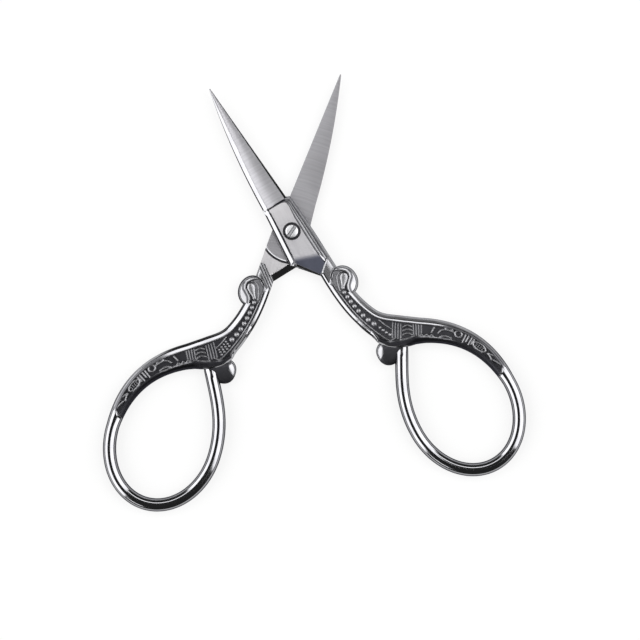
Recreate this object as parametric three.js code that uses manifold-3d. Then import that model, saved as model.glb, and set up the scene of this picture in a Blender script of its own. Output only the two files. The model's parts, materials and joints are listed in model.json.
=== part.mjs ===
// Embroidery scissors: two identical forged halves, one turned over, held by a pivot screw.
// Units are millimetres and +Z is up. The scissors lie flat on the table plane z = 0.
// The origin is on the pivot axis, and +Y runs midway between the two blades.
// A half is drawn closed: its point on +Y, its outer face up, z = 0 on the middle plane.

import * as THREE from "three";
import { mergeVertices } from "three/addons/utils/BufferGeometryUtils.js";
import Module from "manifold-3d";

const wasm = await Module();
wasm.setup();

// Driving dimensions of the whole tool
const OPENING = THREE.MathUtils.degToRad(47.3); // angle between the blades as laid down
const THICK = 3.6; // height of joint, shank and bow lying flat
const RIDE_GAP = 0.1; // running clearance between the two flat inner faces

// Blade
const BLADE_REACH = 40; // pivot axis to the point
const SHOULDER = 7.8; // pivot axis to the step where the grinding starts
const BLADE_BACK = 3.6; // centre line to the back, at the shoulder
const BLADE_EDGE = 3.0; // centre line to the cutting edge, at the shoulder
const BACK_BELLY = 0.8; // bow of the back, 0 for a straight back
const BACK_BAND = 1.2; // width of the polished band along the back
const BLADE_THICK = 1.35; // thickness at the ridge, at the shoulder
const POINT_THICK = 0.45;
const POINT_WIDTH = 0.3;
const EDGE_BEVEL = 0.55; // width of the sharpening bevel
const EDGE_LAND = 0.12; // height left at the cutting edge
const HOLLOW = 0.12; // depth of the hollow ground inner face
const BAND_SHARE = 0.3; // most of the blade's width that the band takes, towards the point
const BEVEL_SHARE = 0.2; // and the bevel
const BACK_SHARE = 0.68; // height of the flat back, in thicknesses
const BEVEL_HEIGHT_SHARE = 0.28; // height of the flank where the bevel starts, in thicknesses
const FLANK_CURVE = 1.7; // 1 for a flat flank, more for a deeper hollow

// Joint plate and its raised panel
const HEEL_OUT = 4.5; // centre line to the heel corner
const HEEL_DOWN = 7; // pivot axis to the heel corner
const LIP = 0.8; // overhang of the plate past the cutting edge at the shoulder
const LEDGE = 1.15; // height of the plate's ledge over the middle plane
const LEDGE_CHAMFER = 0.25;
const HEEL_ROUND = 0.5; // rounding of the heel corner
const PANEL_MARGIN = 0.75; // ledge left beside the raised panel
const PANEL_CHAMFER = 0.6;
const PANEL_SHORT = 0.3; // shoulder to the panel's upper edge
const PANEL_CORNER = 1.2; // rounding of its upper corner
const HEEL_GAP = 1.3; // closed: from one heel to the step of the other shank
const HEEL_CHAMFER = 1.2; // width of the chamfer along the heel's inner edge
const HEEL_DROP = 0.45; // and its depth
const RIDE_RADIUS = 7.3; // run-out of the ground inner face, round the pivot
const RIDE_CUT = 0.08; // depth of that grinding

// Shank
const NECK_LEFT = 0.7; // left side of the shank where it leaves the joint plate
const NECK_WIDTH = 4.3;
const NECK_DOWN = 13; // pivot axis to the neck
const TUCK = 3.5; // the shank runs this far up under the joint plate
const SHANK_WIDTH = 6.6; // where the shank swings into the bow
const SHANK_FLARE = 1.25; // 1 for an even taper, more to keep the neck slim for longer
const SHANK_POWER = 3; // shape of the section there: 2 for an oval, more for a squarer one
const SCROLL_DOWN = 16.8; // pivot axis to the middle of the side scroll
const SCROLL_OUT = 3.25; // scroll's reach past the shank
const SCROLL_TALL = 7.7;
const SCROLL_ROUND = 0.7; // rounding of the scroll's edge
const COLLAR_DOWN = 12.6; // pivot axis to the slanting groove at the neck
const COLLAR_WIDE = 1.2;
const COLLAR_DEPTH = 0.3;
const COLLAR_SLANT = THREE.MathUtils.degToRad(35);

// Bow
const BOW_REACH = 75.4; // pivot axis to the far end
const BOW_WIDTH = 29; // over the outside
const BOW_WIDEST = 58; // pivot axis to the widest line
const BOW_GAP = 0.15; // closed: each bow to the centre line
const WIRE = 3.3; // width of the bow's bar
const SWING_DOWN = 35.3; // pivot axis to where the shank swings into the bow
const SWING_OUT = 12.6; // centre line to the same place
const SWING_DIP = THREE.MathUtils.degToRad(25); // slope of the shank there
const ARM_FLARE = 1.05; // 1 for an even taper from the swing to the bow's bar
const SWING_SWELL = 0.7; // the bar's outer side swells out where the shank swings
const SWELL_BACK = 3.6; // swing back to the middle of the swell, along the bar
const SWELL_LONG = 7; // and from there to either end of it
const WIRE_POWER = 2.2; // shape of the bow's section, as for the shank
const STRAND_LEAN = THREE.MathUtils.degToRad(62); // inner strand's slope where it meets the shank
const STRAND_BACK_SHARE = 0.56; // from the swing back to the strand's root, in shank widths
const STRAND_UNDER_SHARE = 0.4; // and down to it
const STOP_BACK = 3.0; // strand's root to the middle of the rounded stop, towards the centre line
const STOP_RISE = 0.65; // and upwards
const STOP_WIDE = 6.3;
const STOP_TALL = 6.3;

// How far each bend of the route runs straight on at its two ends, in heights of the bend
const SHANK_BEND = [0.56, 0.3];
const ARM_BEND = [0.42, 0.53];
const STRAND_BEND = [0.45, 0.315];

// Relief of shank and arm, the same on both faces
const FIELD_TOP = 17.5; // pivot axis to the upper end of the sunk field
const FIELD_LOW = 53; // and to its lower end, on the arm
const FIELD_DEPTH = 0.5;
const FIELD_WALL = 0.15; // width of its sloping wall
const FIELD_INNER = 1.45; // shank's inner side to the field
const FIELD_OUTER = 1.4; // shank's outer side to the field
const SCROLL_RIM = 0.9; // scroll's edge to its own sunk oval
const DROP_WIDE = 1.9; // raised drop in that oval
const DROP_LONG = 3.4;
const DROP_LEAN = THREE.MathUtils.degToRad(-35);
const BEADS = 8;
const BEADS_TOP = 19.4; // pivot axis to the first bead
const BEADS_LOW = 29.3; // and to the last
const BEAD_FIRST = 1.15; // width of the first bead
const BEAD_LAST = 1.4; // and of the last
const RELIEF_DIP = 0.06; // scroll, drop and beads stay this far below the outer face
const RELIEF_ROOT = 0.1; // drop and beads start this far below the sunk floor

// Pivot screw
const HEAD_WIDTH = 3.8;
const HEAD_RIM = 0.35; // straight side of the head
const HEAD_DOME = 0.5;
const SEAT_DEPTH = 0.3; // shallow seat for the head in the raised panel
const SHANK_DIAMETER = 2.6;
const THREAD_DIAMETER = 2.2;
const BORE_GAP = 0.06; // clearance round the screw, on the radius
const HEAD_GAP = 0.15; // clearance round the head, on the radius
const SLOT_WIDTH = 0.85;
const SLOT_DEPTH = 0.45;
const SLOT_ANGLE = THREE.MathUtils.degToRad(49); // slot's direction from +X

// Smoothness
const BLADE_SEGMENTS = 14; // pieces along the blade
const SIDES = 16; // points round a bar
const STEP = 1.6; // length of a piece of bar
const ROUND = 32; // pieces round the screw

const HALF_THICK = THICK / 2;
const INNER = RIDE_GAP / 2; // the flat inner face, over the middle plane
const FLOOR = HALF_THICK - FIELD_DEPTH; // of the sunk field, over the middle plane
const CREST = HALF_THICK - RELIEF_DIP; // of what rises from it
const FAR = 4 * BOW_REACH;

// A closed three.js geometry as a solid for joining and cutting.
function solid(geometry) {
  const bare = new THREE.BufferGeometry();
  bare.setAttribute("position", geometry.getAttribute("position"));
  if (geometry.index) bare.setIndex(geometry.index);
  const merged = mergeVertices(bare, 1e-5);
  const corners = [];
  for (let i = 0; i < merged.index.count; i += 3) {
    const [a, b, c] = [0, 1, 2].map((k) => merged.index.getX(i + k));
    if (a !== b && b !== c && c !== a) corners.push(a, b, c);
  }
  const mesh = new wasm.Mesh({
    numProp: 3,
    vertProperties: merged.getAttribute("position").array,
    triVerts: new Uint32Array(corners),
  });
  return new wasm.Manifold(mesh);
}

// A solid back as a three.js geometry with flat facets.
function geometryOf(made) {
  const mesh = made.getMesh();
  const geometry = new THREE.BufferGeometry();
  geometry.setAttribute("position", new THREE.BufferAttribute(mesh.vertProperties, 3));
  geometry.setIndex(new THREE.BufferAttribute(mesh.triVerts, 1));
  const faceted = geometry.toNonIndexed();
  faceted.computeVertexNormals();
  return faceted;
}

// Skins rings of points into a closed body. Each ring has the same number of points,
// and turns anticlockwise seen from the end that the rings run towards.
function loft(rings, outline) {
  const count = rings[0].length;
  const points = rings.flat().flatMap((p) => [p.x, p.y, p.z]);
  const index = [];
  for (let i = 0; i < rings.length - 1; i++) {
    for (let j = 0; j < count; j++) {
      const a = i * count + j;
      const b = i * count + ((j + 1) % count);
      index.push(a, b, b + count, a, b + count, a + count);
    }
  }
  const last = (rings.length - 1) * count;
  for (const [a, b, c] of THREE.ShapeUtils.triangulateShape(outline, [])) {
    index.push(a, c, b, last + a, last + b, last + c);
  }
  const geometry = new THREE.BufferGeometry();
  geometry.setAttribute("position", new THREE.Float32BufferAttribute(points, 3));
  geometry.setIndex(index);
  return solid(geometry);
}

// Extrudes an outline from one height to another, with its upper edge sloped off.
function slab(shape, low, high, slope) {
  const geometry = new THREE.ExtrudeGeometry(shape, {
    depth: high - low,
    curveSegments: 6,
    bevelThickness: slope,
    bevelSize: slope,
    bevelOffset: -slope,
    bevelSegments: 1,
  });
  geometry.translate(0, 0, low - slope);
  return solid(geometry).intersect(above(low));
}

// Everything over a height, as a large box.
function above(height) {
  const box = new THREE.BoxGeometry(FAR, FAR, FAR);
  box.translate(0, 0, height + FAR / 2);
  return solid(box);
}

// An upright round bar about the pivot axis.
function post(radius, low, high) {
  const bar = new THREE.CylinderGeometry(radius, radius, high - low, ROUND);
  bar.rotateX(Math.PI / 2);
  bar.translate(0, 0, (low + high) / 2);
  return solid(bar);
}

// The blade's section at a share t of the way from shoulder to point: flat back face,
// polished band up to the ridge, hollow ground flank, sharpening bevel, hollow inner face.
function bladeSection(t) {
  const left = 1 - t;
  const back = -BLADE_BACK * left * (1 + BACK_BELLY * t) - (t * POINT_WIDTH) / 2;
  const edge = BLADE_EDGE * left + (t * POINT_WIDTH) / 2;
  const wide = edge - back;
  const ridge = back + Math.min(BACK_BAND, wide * BAND_SHARE);
  const bevel = edge - Math.min(EDGE_BEVEL, wide * BEVEL_SHARE);
  const thick = THREE.MathUtils.lerp(BLADE_THICK, POINT_THICK, t);
  const low = thick * BEVEL_HEIGHT_SHARE;
  const points = [
    [edge, INNER],
    [edge, INNER + EDGE_LAND],
    [bevel, INNER + low],
  ];
  for (const s of [0.75, 0.5, 0.25]) {
    const x = THREE.MathUtils.lerp(ridge, bevel, s);
    points.push([x, INNER + low + (thick - low) * (1 - s) ** FLANK_CURVE]);
  }
  points.push([ridge, INNER + thick], [back, INNER + thick * BACK_SHARE], [back, INNER]);
  const dish = HOLLOW * Math.min(1, wide / BLADE_EDGE / 2);
  for (const s of [0.3, 0.7]) {
    points.push([THREE.MathUtils.lerp(back, edge, s), INNER + dish]);
  }
  return points.map(([x, z]) => new THREE.Vector2(x, z)).reverse();
}

function makeBlade() {
  const root = SHOULDER - LIP; // the blade runs a little way under the raised panel
  const rings = [];
  for (let i = 0; i <= BLADE_SEGMENTS; i++) {
    const t = i / BLADE_SEGMENTS;
    const y = THREE.MathUtils.lerp(SHOULDER, BLADE_REACH, t);
    rings.push(bladeSection(t).map((p) => new THREE.Vector3(p.x, y, p.y)));
  }
  rings.unshift(rings[0].map((p) => new THREE.Vector3(p.x, root, p.z)));
  const outline = bladeSection(0).map((p) => new THREE.Vector2(-p.x, p.y));
  return loft(rings, outline);
}

// Corners of the joint plate that several pieces share
const heel = new THREE.Vector2(-HEEL_OUT, -HEEL_DOWN);
const neckLeft = new THREE.Vector2(NECK_LEFT, -NECK_DOWN);
const neckRight = new THREE.Vector2(NECK_LEFT + NECK_WIDTH, -NECK_DOWN);
const shoulderLeft = new THREE.Vector2(-BLADE_BACK, SHOULDER);
const shoulderRight = new THREE.Vector2(BLADE_EDGE + LIP, SHOULDER);

function makeJoint() {
  const plate = new THREE.Shape();
  plate.moveTo(shoulderLeft.x, shoulderLeft.y);
  plate.lineTo(heel.x, heel.y + HEEL_ROUND);
  plate.quadraticCurveTo(heel.x, heel.y, heel.x + HEEL_ROUND, heel.y - HEEL_ROUND);
  plate.lineTo(neckLeft.x, neckLeft.y);
  plate.lineTo(neckRight.x, neckRight.y);
  const belly = new THREE.Vector2(neckRight.x, (neckRight.y + shoulderRight.y) / 2);
  plate.quadraticCurveTo(belly.x, belly.y, shoulderRight.x, shoulderRight.y);
  plate.closePath();

  const panel = new THREE.Shape();
  const top = SHOULDER - PANEL_SHORT;
  const right = shoulderRight.x - PANEL_MARGIN;
  panel.moveTo(shoulderLeft.x + PANEL_MARGIN, top);
  panel.lineTo(heel.x + PANEL_MARGIN, heel.y);
  panel.lineTo(neckLeft.x + PANEL_SHORT, neckLeft.y);
  panel.lineTo(neckRight.x - PANEL_MARGIN, neckRight.y);
  panel.quadraticCurveTo(belly.x - PANEL_MARGIN, belly.y, right, top - PANEL_CORNER);
  panel.quadraticCurveTo(right, top, right - PANEL_CORNER, top);
  panel.closePath();

  const raised = slab(panel, INNER, HALF_THICK, PANEL_CHAMFER);
  const joint = slab(plate, INNER, LEDGE, LEDGE_CHAMFER).add(raised);
  return joint.subtract(makeRide()).subtract(makeHeelChamfer());
}

// The grinding of the inner face runs on from the blade and ends in an arc round the pivot.
function makeRide() {
  const shape = new THREE.Shape();
  shape.moveTo(-RIDE_RADIUS, SHOULDER);
  shape.absarc(0, 0, RIDE_RADIUS, Math.PI, 2 * Math.PI);
  shape.lineTo(RIDE_RADIUS, SHOULDER);
  shape.closePath();
  const geometry = new THREE.ExtrudeGeometry(shape, {
    depth: THICK,
    curveSegments: 24,
    bevelEnabled: false,
  });
  geometry.translate(0, 0, INNER + RIDE_CUT - THICK);
  return solid(geometry);
}

// The chamfer along the heel's inner edge, as a wedge laid along that edge.
function makeHeelChamfer() {
  const wedge = new THREE.Shape();
  wedge.moveTo(-2 * HEEL_CHAMFER, INNER - HEEL_DROP);
  wedge.lineTo(HEEL_CHAMFER, INNER - HEEL_DROP);
  wedge.lineTo(HEEL_CHAMFER, INNER + 2 * HEEL_DROP);
  wedge.closePath();
  const up = new THREE.Vector3(0, 0, 1);
  const run = new THREE.Vector3(heel.x - neckLeft.x, heel.y - neckLeft.y, 0);
  const geometry = new THREE.ExtrudeGeometry(wedge, {
    depth: 2 * run.length(),
    bevelEnabled: false,
  });
  run.normalize();
  const out = new THREE.Vector3().crossVectors(up, run);
  const place = new THREE.Matrix4().makeBasis(out, up, run);
  const from = neckLeft.clone().addScaledVector(run, HEEL_CHAMFER);
  place.setPosition(from.x, from.y, 0);
  return solid(geometry.applyMatrix4(place));
}

// The middle line of shank and bow, from under the joint plate down the shank,
// out along the arm, round the bow and back up the inner strand.
const start = new THREE.Vector2(NECK_LEFT + NECK_WIDTH / 2, TUCK - NECK_DOWN);
const swing = new THREE.Vector2(SWING_OUT, -SWING_DOWN);
const swingWay = new THREE.Vector2(Math.cos(SWING_DIP), -Math.sin(SWING_DIP));
const bowLeft = new THREE.Vector2(BOW_GAP + WIRE / 2, -BOW_WIDEST);
const bowRight = new THREE.Vector2(BOW_GAP + BOW_WIDTH - WIRE / 2, -BOW_WIDEST);
const bowLow = new THREE.Vector2((bowLeft.x + bowRight.x) / 2, WIRE / 2 - BOW_REACH);
const strandWay = new THREE.Vector2(Math.cos(STRAND_LEAN), Math.sin(STRAND_LEAN));
const strandRoot = new THREE.Vector2(-STRAND_BACK_SHARE, -STRAND_UNDER_SHARE)
  .multiplyScalar(SHANK_WIDTH)
  .add(swing);
const strandTop = swing.clone().addScaledVector(swingWay, -STRAND_UNDER_SHARE * SHANK_WIDTH);

// A bend between two points, with the way it runs at each.
function bend(a, wayA, b, wayB, [first, second]) {
  const height = Math.abs(a.y - b.y);
  const handleA = a.clone().addScaledVector(wayA, first * height);
  const handleB = b.clone().addScaledVector(wayB, -second * height);
  return new THREE.CubicBezierCurve(a, handleA, handleB, b);
}

function makeRoute() {
  const down = new THREE.Vector2(0, -1);
  const up = new THREE.Vector2(0, 1);
  const quarter = Math.PI / 2;
  const wide = (bowRight.x - bowLeft.x) / 2;
  const tall = bowRight.y - bowLow.y;
  return [
    bend(start, down, swing, swingWay, SHANK_BEND),
    bend(swing, swingWay, bowRight, down, ARM_BEND),
    new THREE.EllipseCurve(bowLow.x, bowLeft.y, wide, tall, 0, -quarter, true),
    new THREE.EllipseCurve(bowLow.x, bowLeft.y, wide, tall, -quarter, -2 * quarter, true),
    bend(bowLeft, up, strandRoot, strandWay, STRAND_BEND),
    new THREE.LineCurve(strandRoot, strandTop),
  ];
}

// Width of the bar at a share t of each stretch of the route.
function barWidth(stretch, t) {
  if (stretch === 0) return THREE.MathUtils.lerp(NECK_WIDTH, SHANK_WIDTH, t ** SHANK_FLARE);
  if (stretch === 1) return WIRE + (SHANK_WIDTH - WIRE) * (1 - t) ** ARM_FLARE;
  return WIRE;
}

// An oval that is squarer for a wide bar and rounder for the bow's wire.
function barSection(width) {
  const share = (width - WIRE) / (SHANK_WIDTH - WIRE);
  const power = THREE.MathUtils.lerp(WIRE_POWER, SHANK_POWER, share);
  const points = [];
  for (let i = 0; i < SIDES; i++) {
    const angle = (2 * Math.PI * (i + 0.5)) / SIDES;
    const x = Math.sign(Math.cos(angle)) * Math.abs(Math.cos(angle)) ** (2 / power);
    const z = Math.sign(Math.sin(angle)) * Math.abs(Math.sin(angle)) ** (2 / power);
    points.push(new THREE.Vector2(x * width, z * THICK).multiplyScalar(0.5));
  }
  const top = Math.max(...points.map((p) => p.y));
  return points.map((p) => new THREE.Vector2(p.x, (p.y * HALF_THICK) / top));
}

const route = makeRoute();
const strandFirst = route.length - 2; // the inner strand is the last two, and runs into the shank

// How far the bar's outer side swells out at a share t of a stretch.
function swellAt(stretch, t) {
  if (stretch > 1) return 0;
  const fromSwing = route[stretch].getLength() * (stretch === 0 ? t - 1 : t);
  const share = Math.min(1, Math.abs(fromSwing + SWELL_BACK) / SWELL_LONG);
  return SWING_SWELL * Math.cos((share * Math.PI) / 2) ** 2;
}

// The bar's middle at a share t of a stretch, its outward side there, and its width.
function station(stretch, t) {
  const way = route[stretch].getTangentAt(t);
  const out = new THREE.Vector2(-way.y, way.x);
  const swell = swellAt(stretch, t);
  const at = route[stretch].getPointAt(t).addScaledVector(out, swell / 2);
  return { at, out, width: barWidth(stretch, t) + swell };
}

// Stations along part of a stretch, about a STEP apart.
function stations(stretch, from, to) {
  const pieces = Math.ceil((route[stretch].getLength() * (to - from)) / STEP);
  const share = (i) => THREE.MathUtils.lerp(from, to, i / pieces);
  return Array.from({ length: pieces + 1 }, (_, i) => station(stretch, share(i)));
}

// Share of a stretch at which it lies so far below the pivot axis.
function shareAt(stretch, down) {
  let [low, high] = [0, 1];
  for (let i = 0; i < 40; i++) {
    const middle = (low + high) / 2;
    if (-route[stretch].getPointAt(middle).y < down) low = middle;
    else high = middle;
  }
  return low;
}

// A section's points, set across the route at a station.
function across({ at, out }, points) {
  return points.map((p) => new THREE.Vector3(at.x + out.x * p.x, at.y + out.y * p.x, p.y));
}

// The bar along some of the stretches, starting on the end of the stretch before.
function makeBar(first, last) {
  const places = [first ? station(first - 1, 1) : station(0, 0)];
  for (let stretch = first; stretch <= last; stretch++) {
    places.push(...stations(stretch, 0, 1).slice(1));
  }
  const rings = places.map((place) => across(place, barSection(place.width)));
  return loft(rings, barSection(WIRE));
}

// The side scroll below the joint.
function makeScroll() {
  const shape = new THREE.Shape();
  shape.absellipse(neckRight.x, -SCROLL_DOWN, SCROLL_OUT, SCROLL_TALL / 2, 0, 2 * Math.PI);
  const geometry = new THREE.ExtrudeGeometry(shape, {
    depth: 2 * (CREST - SCROLL_ROUND),
    curveSegments: 14,
    bevelThickness: SCROLL_ROUND,
    bevelSize: SCROLL_ROUND,
    bevelOffset: -SCROLL_ROUND,
    bevelSegments: 2,
  });
  geometry.translate(0, 0, SCROLL_ROUND - CREST);
  return solid(geometry);
}

// An egg-shaped body of three widths, with its poles up and down and its middle at a point.
function egg(wide, long, tall, middle, lean = 0, facets = 16) {
  const ball = new THREE.SphereGeometry(0.5, facets, facets / 2);
  ball.rotateX(Math.PI / 2);
  ball.scale(wide, long, tall);
  ball.rotateZ(lean);
  ball.translate(middle.x, middle.y, middle.z);
  return solid(ball);
}

// Sides of the sunk field at a station, measured outwards from the route.
function fieldSides(width) {
  return [FIELD_INNER - width / 2, width / 2 - FIELD_OUTER];
}

// Section of the cutter for the field: side is 1 for the outer face, -1 for the inner.
function fieldSection(width, side) {
  const [inner, outer] = fieldSides(width);
  const [slope, top] = [2 * FIELD_WALL, FLOOR + 2 * FIELD_DEPTH];
  const section = [
    new THREE.Vector2(inner, side * FLOOR),
    new THREE.Vector2(outer, side * FLOOR),
    new THREE.Vector2(outer + slope, side * top),
    new THREE.Vector2(inner - slope, side * top),
  ];
  return side > 0 ? section : section.reverse();
}

// Everything that is cut away for the relief on one face.
function makeSunk(side) {
  const places = [
    ...stations(0, shareAt(0, FIELD_TOP), 1),
    ...stations(1, 0, shareAt(1, FIELD_LOW)).slice(1),
  ];
  const rings = places.map((place) => across(place, fieldSection(place.width, side)));
  const channel = loft(rings, fieldSection(SHANK_WIDTH, side));

  const oval = new THREE.Shape();
  const [wide, tall] = [SCROLL_OUT - SCROLL_RIM, SCROLL_TALL / 2 - SCROLL_RIM];
  oval.absellipse(neckRight.x, -SCROLL_DOWN, wide, tall, 0, 2 * Math.PI);
  const well = new THREE.ExtrudeGeometry(oval, { depth: THICK, curveSegments: 12, bevelEnabled: false });
  well.translate(0, 0, side > 0 ? FLOOR : -FLOOR - THICK);

  const groove = new THREE.BoxGeometry(3 * NECK_WIDTH, COLLAR_WIDE, 2 * COLLAR_DEPTH);
  groove.rotateZ(COLLAR_SLANT);
  groove.translate(NECK_LEFT + NECK_WIDTH / 2, -COLLAR_DOWN, side * HALF_THICK);
  return channel.add(solid(well)).add(solid(groove));
}

// Raises the drop and the row of beads from the sunk floor of one face.
function makeRaised(side) {
  const root = FLOOR - RELIEF_ROOT;
  const tall = 2 * (CREST - root);
  const scroll = new THREE.Vector3(neckRight.x, -SCROLL_DOWN, side * root);
  let raised = egg(DROP_WIDE, DROP_LONG, tall, scroll, DROP_LEAN);
  for (let i = 0; i < BEADS; i++) {
    const share = i / (BEADS - 1);
    const bead = THREE.MathUtils.lerp(BEAD_FIRST, BEAD_LAST, share);
    const down = THREE.MathUtils.lerp(BEADS_TOP, BEADS_LOW, share);
    const { at, out, width } = station(0, shareAt(0, down));
    const [inner, outer] = fieldSides(width);
    at.addScaledVector(out, (inner + outer) / 2);
    const middle = new THREE.Vector3(at.x, at.y, side * root);
    raised = raised.add(egg(bead, bead, tall, middle, 0, 10));
  }
  return raised;
}

// Below the inner face the shank is cut back along the other half's heel, so that they clear.
function makeHeelRelief() {
  const along = new THREE.Vector2(heel.x - neckLeft.x, neckLeft.y - heel.y).normalize();
  const angle = Math.atan2(-along.y, -along.x);
  const box = new THREE.BoxGeometry(FAR, FAR, FAR);
  box.translate(0, FAR / 2 - HEEL_GAP, INNER - FAR / 2);
  box.rotateZ(angle);
  box.translate(-heel.x, heel.y, 0);
  return solid(box);
}

// One half, with a bore for the screw. Only the half under the head has a seat for it.
function makeHalf(boreDiameter, seated) {
  const strand = makeBar(strandFirst, route.length - 1);
  const bar = makeBar(0, strandFirst - 1).add(strand).subtract(makeHeelRelief());
  const stopMiddle = new THREE.Vector3(strandRoot.x - STOP_BACK, strandRoot.y + STOP_RISE, 0);
  const stop = egg(STOP_WIDE, STOP_TALL, 2 * CREST, stopMiddle);
  let body = makeBlade().add(makeJoint()).add(bar).add(makeScroll()).add(stop);
  for (const side of [1, -1]) {
    body = body.subtract(makeSunk(side)).add(makeRaised(side));
  }
  const bored = body.subtract(post(boreDiameter / 2 + BORE_GAP, -THICK, THICK));
  if (!seated) return bored;
  return bored.subtract(post(HEAD_WIDTH / 2 + HEAD_GAP, HALF_THICK - SEAT_DEPTH, THICK));
}

// Slotted screw, flush with the table side, its shoulder on the lower half's inner face.
function makeScrew() {
  const shoulder = HALF_THICK - INNER - RIDE_CUT;
  const seat = THICK - SEAT_DEPTH;
  const rim = seat + HEAD_RIM;
  const profile = [
    [0, 0],
    [THREAD_DIAMETER / 2, 0],
    [THREAD_DIAMETER / 2, shoulder],
    [SHANK_DIAMETER / 2, shoulder],
    [SHANK_DIAMETER / 2, seat],
    [HEAD_WIDTH / 2, seat],
    [HEAD_WIDTH / 2, rim],
  ];
  for (const share of [0.25, 0.5, 0.75, 1]) {
    const angle = (share * Math.PI) / 2;
    profile.push([(HEAD_WIDTH / 2) * Math.cos(angle), rim + HEAD_DOME * Math.sin(angle)]);
  }
  profile[profile.length - 1][0] = 0;
  const turned = new THREE.LatheGeometry(
    profile.map(([r, z]) => new THREE.Vector2(r, z)),
    ROUND,
  );
  turned.rotateX(Math.PI / 2);
  const slot = new THREE.BoxGeometry(2 * HEAD_WIDTH, SLOT_WIDTH, 2 * SLOT_DEPTH);
  slot.rotateZ(SLOT_ANGLE);
  slot.translate(0, 0, rim + HEAD_DOME);
  return solid(turned).subtract(solid(slot));
}

function piece(name, made, colour, roughness) {
  const material = new THREE.MeshStandardMaterial({ color: colour, roughness, metalness: 1 });
  const mesh = new THREE.Mesh(geometryOf(made), material);
  mesh.name = name;
  return mesh;
}

const scissors = new THREE.Group();

const upper = new THREE.Group();
upper.position.z = HALF_THICK;
upper.rotation.z = OPENING / 2;
upper.add(piece("front_half", makeHalf(SHANK_DIAMETER, true), 0x9a9aa0, 0.25));
scissors.add(upper);

const lower = new THREE.Group();
lower.position.z = HALF_THICK;
lower.rotation.z = -OPENING / 2;
const turnedOver = piece("back_half", makeHalf(THREAD_DIAMETER, false), 0x9a9aa0, 0.25);
turnedOver.rotation.y = Math.PI;
lower.add(turnedOver);
scissors.add(lower);

scissors.add(piece("pivot_screw", makeScrew(), 0x85858b, 0.2));

export default scissors;
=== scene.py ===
# %% [markdown]
# # Embroidery scissors with carved handles
# A small pair of scissors lies open on a pale table. Two halves cross at one screw, and each half has
# a hollow-ground blade, a flat joint, a carved shank and an oval finger bow, all in one piece of steel.
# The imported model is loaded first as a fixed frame. It says which bodies move and how large they are.

# %% Load the frame
import json
import math
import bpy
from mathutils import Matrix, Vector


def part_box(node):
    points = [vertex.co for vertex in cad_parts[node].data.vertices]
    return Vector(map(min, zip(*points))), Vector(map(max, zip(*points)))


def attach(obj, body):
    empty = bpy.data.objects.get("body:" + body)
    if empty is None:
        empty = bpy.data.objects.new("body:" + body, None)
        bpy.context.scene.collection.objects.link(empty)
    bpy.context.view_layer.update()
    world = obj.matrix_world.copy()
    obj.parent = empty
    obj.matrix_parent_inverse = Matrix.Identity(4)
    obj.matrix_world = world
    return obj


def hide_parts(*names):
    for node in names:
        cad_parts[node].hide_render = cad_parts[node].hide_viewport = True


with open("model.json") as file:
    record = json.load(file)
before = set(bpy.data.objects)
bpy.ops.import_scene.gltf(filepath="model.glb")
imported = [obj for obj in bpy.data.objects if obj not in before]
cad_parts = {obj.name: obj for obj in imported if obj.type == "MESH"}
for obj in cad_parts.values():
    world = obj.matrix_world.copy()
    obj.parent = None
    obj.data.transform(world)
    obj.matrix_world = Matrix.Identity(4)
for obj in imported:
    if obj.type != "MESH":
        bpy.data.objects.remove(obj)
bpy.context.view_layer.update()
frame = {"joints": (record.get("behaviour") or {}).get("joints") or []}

from types import SimpleNamespace

import bpy
import numpy as np

# %% [markdown]
# ## The bench frame of one half
# Both halves come out of the same die, so each shape is worked out once, in millimetres, for a half that
# lies on the bench: x to the right, y to the point, z up from the middle plane, with the screw at 0, 0.
# Laying it down swings it by half the opening. The back half is first turned over about its length.

# %% Lay a half in its place
MM = 0.001
lowest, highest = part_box("front_half")
HALF_THICK = (highest.z - lowest.z) / 2 / MM
OPENING = math.radians(-frame["joints"][0]["range_deg"][0])


def lay_down(points, half):
    """Turns the back half over (x and z change sign), swings by half the opening, lifts to the table."""
    x, y, z = points[..., 0], points[..., 1], points[..., 2]
    swing = {"front": OPENING / 2, "back": -OPENING / 2, "upright": 0.0}[half]
    if half == "back":
        x, z = -x, -z
    across = x * math.cos(swing) - y * math.sin(swing)
    along = x * math.sin(swing) + y * math.cos(swing)
    return np.stack([across, along, z + HALF_THICK], axis=-1)


print("half of the thickness", round(HALF_THICK, 3), "mm, opening", round(math.degrees(OPENING), 2))

# %% [markdown]
# ## From a grid of points to a piece
# Every surface here is a grid: rings of points along one direction, points round each ring along the
# other. Whole arrays give the places, and one call puts them into the mesh. Three marks stay on the points
# for the finishes: where they were on the bench, how black they are painted, which is painted shade and
# in the carving's hollows also the plating's own black, and how far they go over to the second state of
# their finish, which on bare steel is a dark painted reflection.

# %% From a grid to faces


def surface(grid, finish=0, recess=0, blend=0, wrap=False):
    """Joins each ring to the next with quads. The ends are closed with a cap, or to each other by wrap."""
    rings, around = grid.shape[:2]
    row = np.arange(rings if wrap else rings - 1)[:, None]
    column = np.arange(around)[None, :]
    here = row * around
    there = (row + 1) % rings * around
    following = (column + 1) % around
    corners = [here + column, here + following, there + following, there + column]
    faces = np.stack(corners, axis=-1).reshape(-1, 4).tolist()
    finishes = np.broadcast_to(finish, (len(row), around)).ravel().tolist()
    if not wrap:
        first = list(range(around))[::-1]
        last = list(range((rings - 1) * around, rings * around))
        faces += [first, last]
        finishes += [finishes[0], finishes[-1]]
    made = {"points": grid.reshape(-1, 3), "faces": faces, "finishes": finishes}
    for mark, values in (("recess", recess), ("blend", blend)):
        made[mark] = np.broadcast_to(values, (rings, around)).ravel()
    return made


box_like = surface(np.zeros((2, 4, 3)))
print("two rings of four points have", len(box_like["faces"]), "faces")

# %% From faces to a piece
SHARP = math.radians(38)


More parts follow.
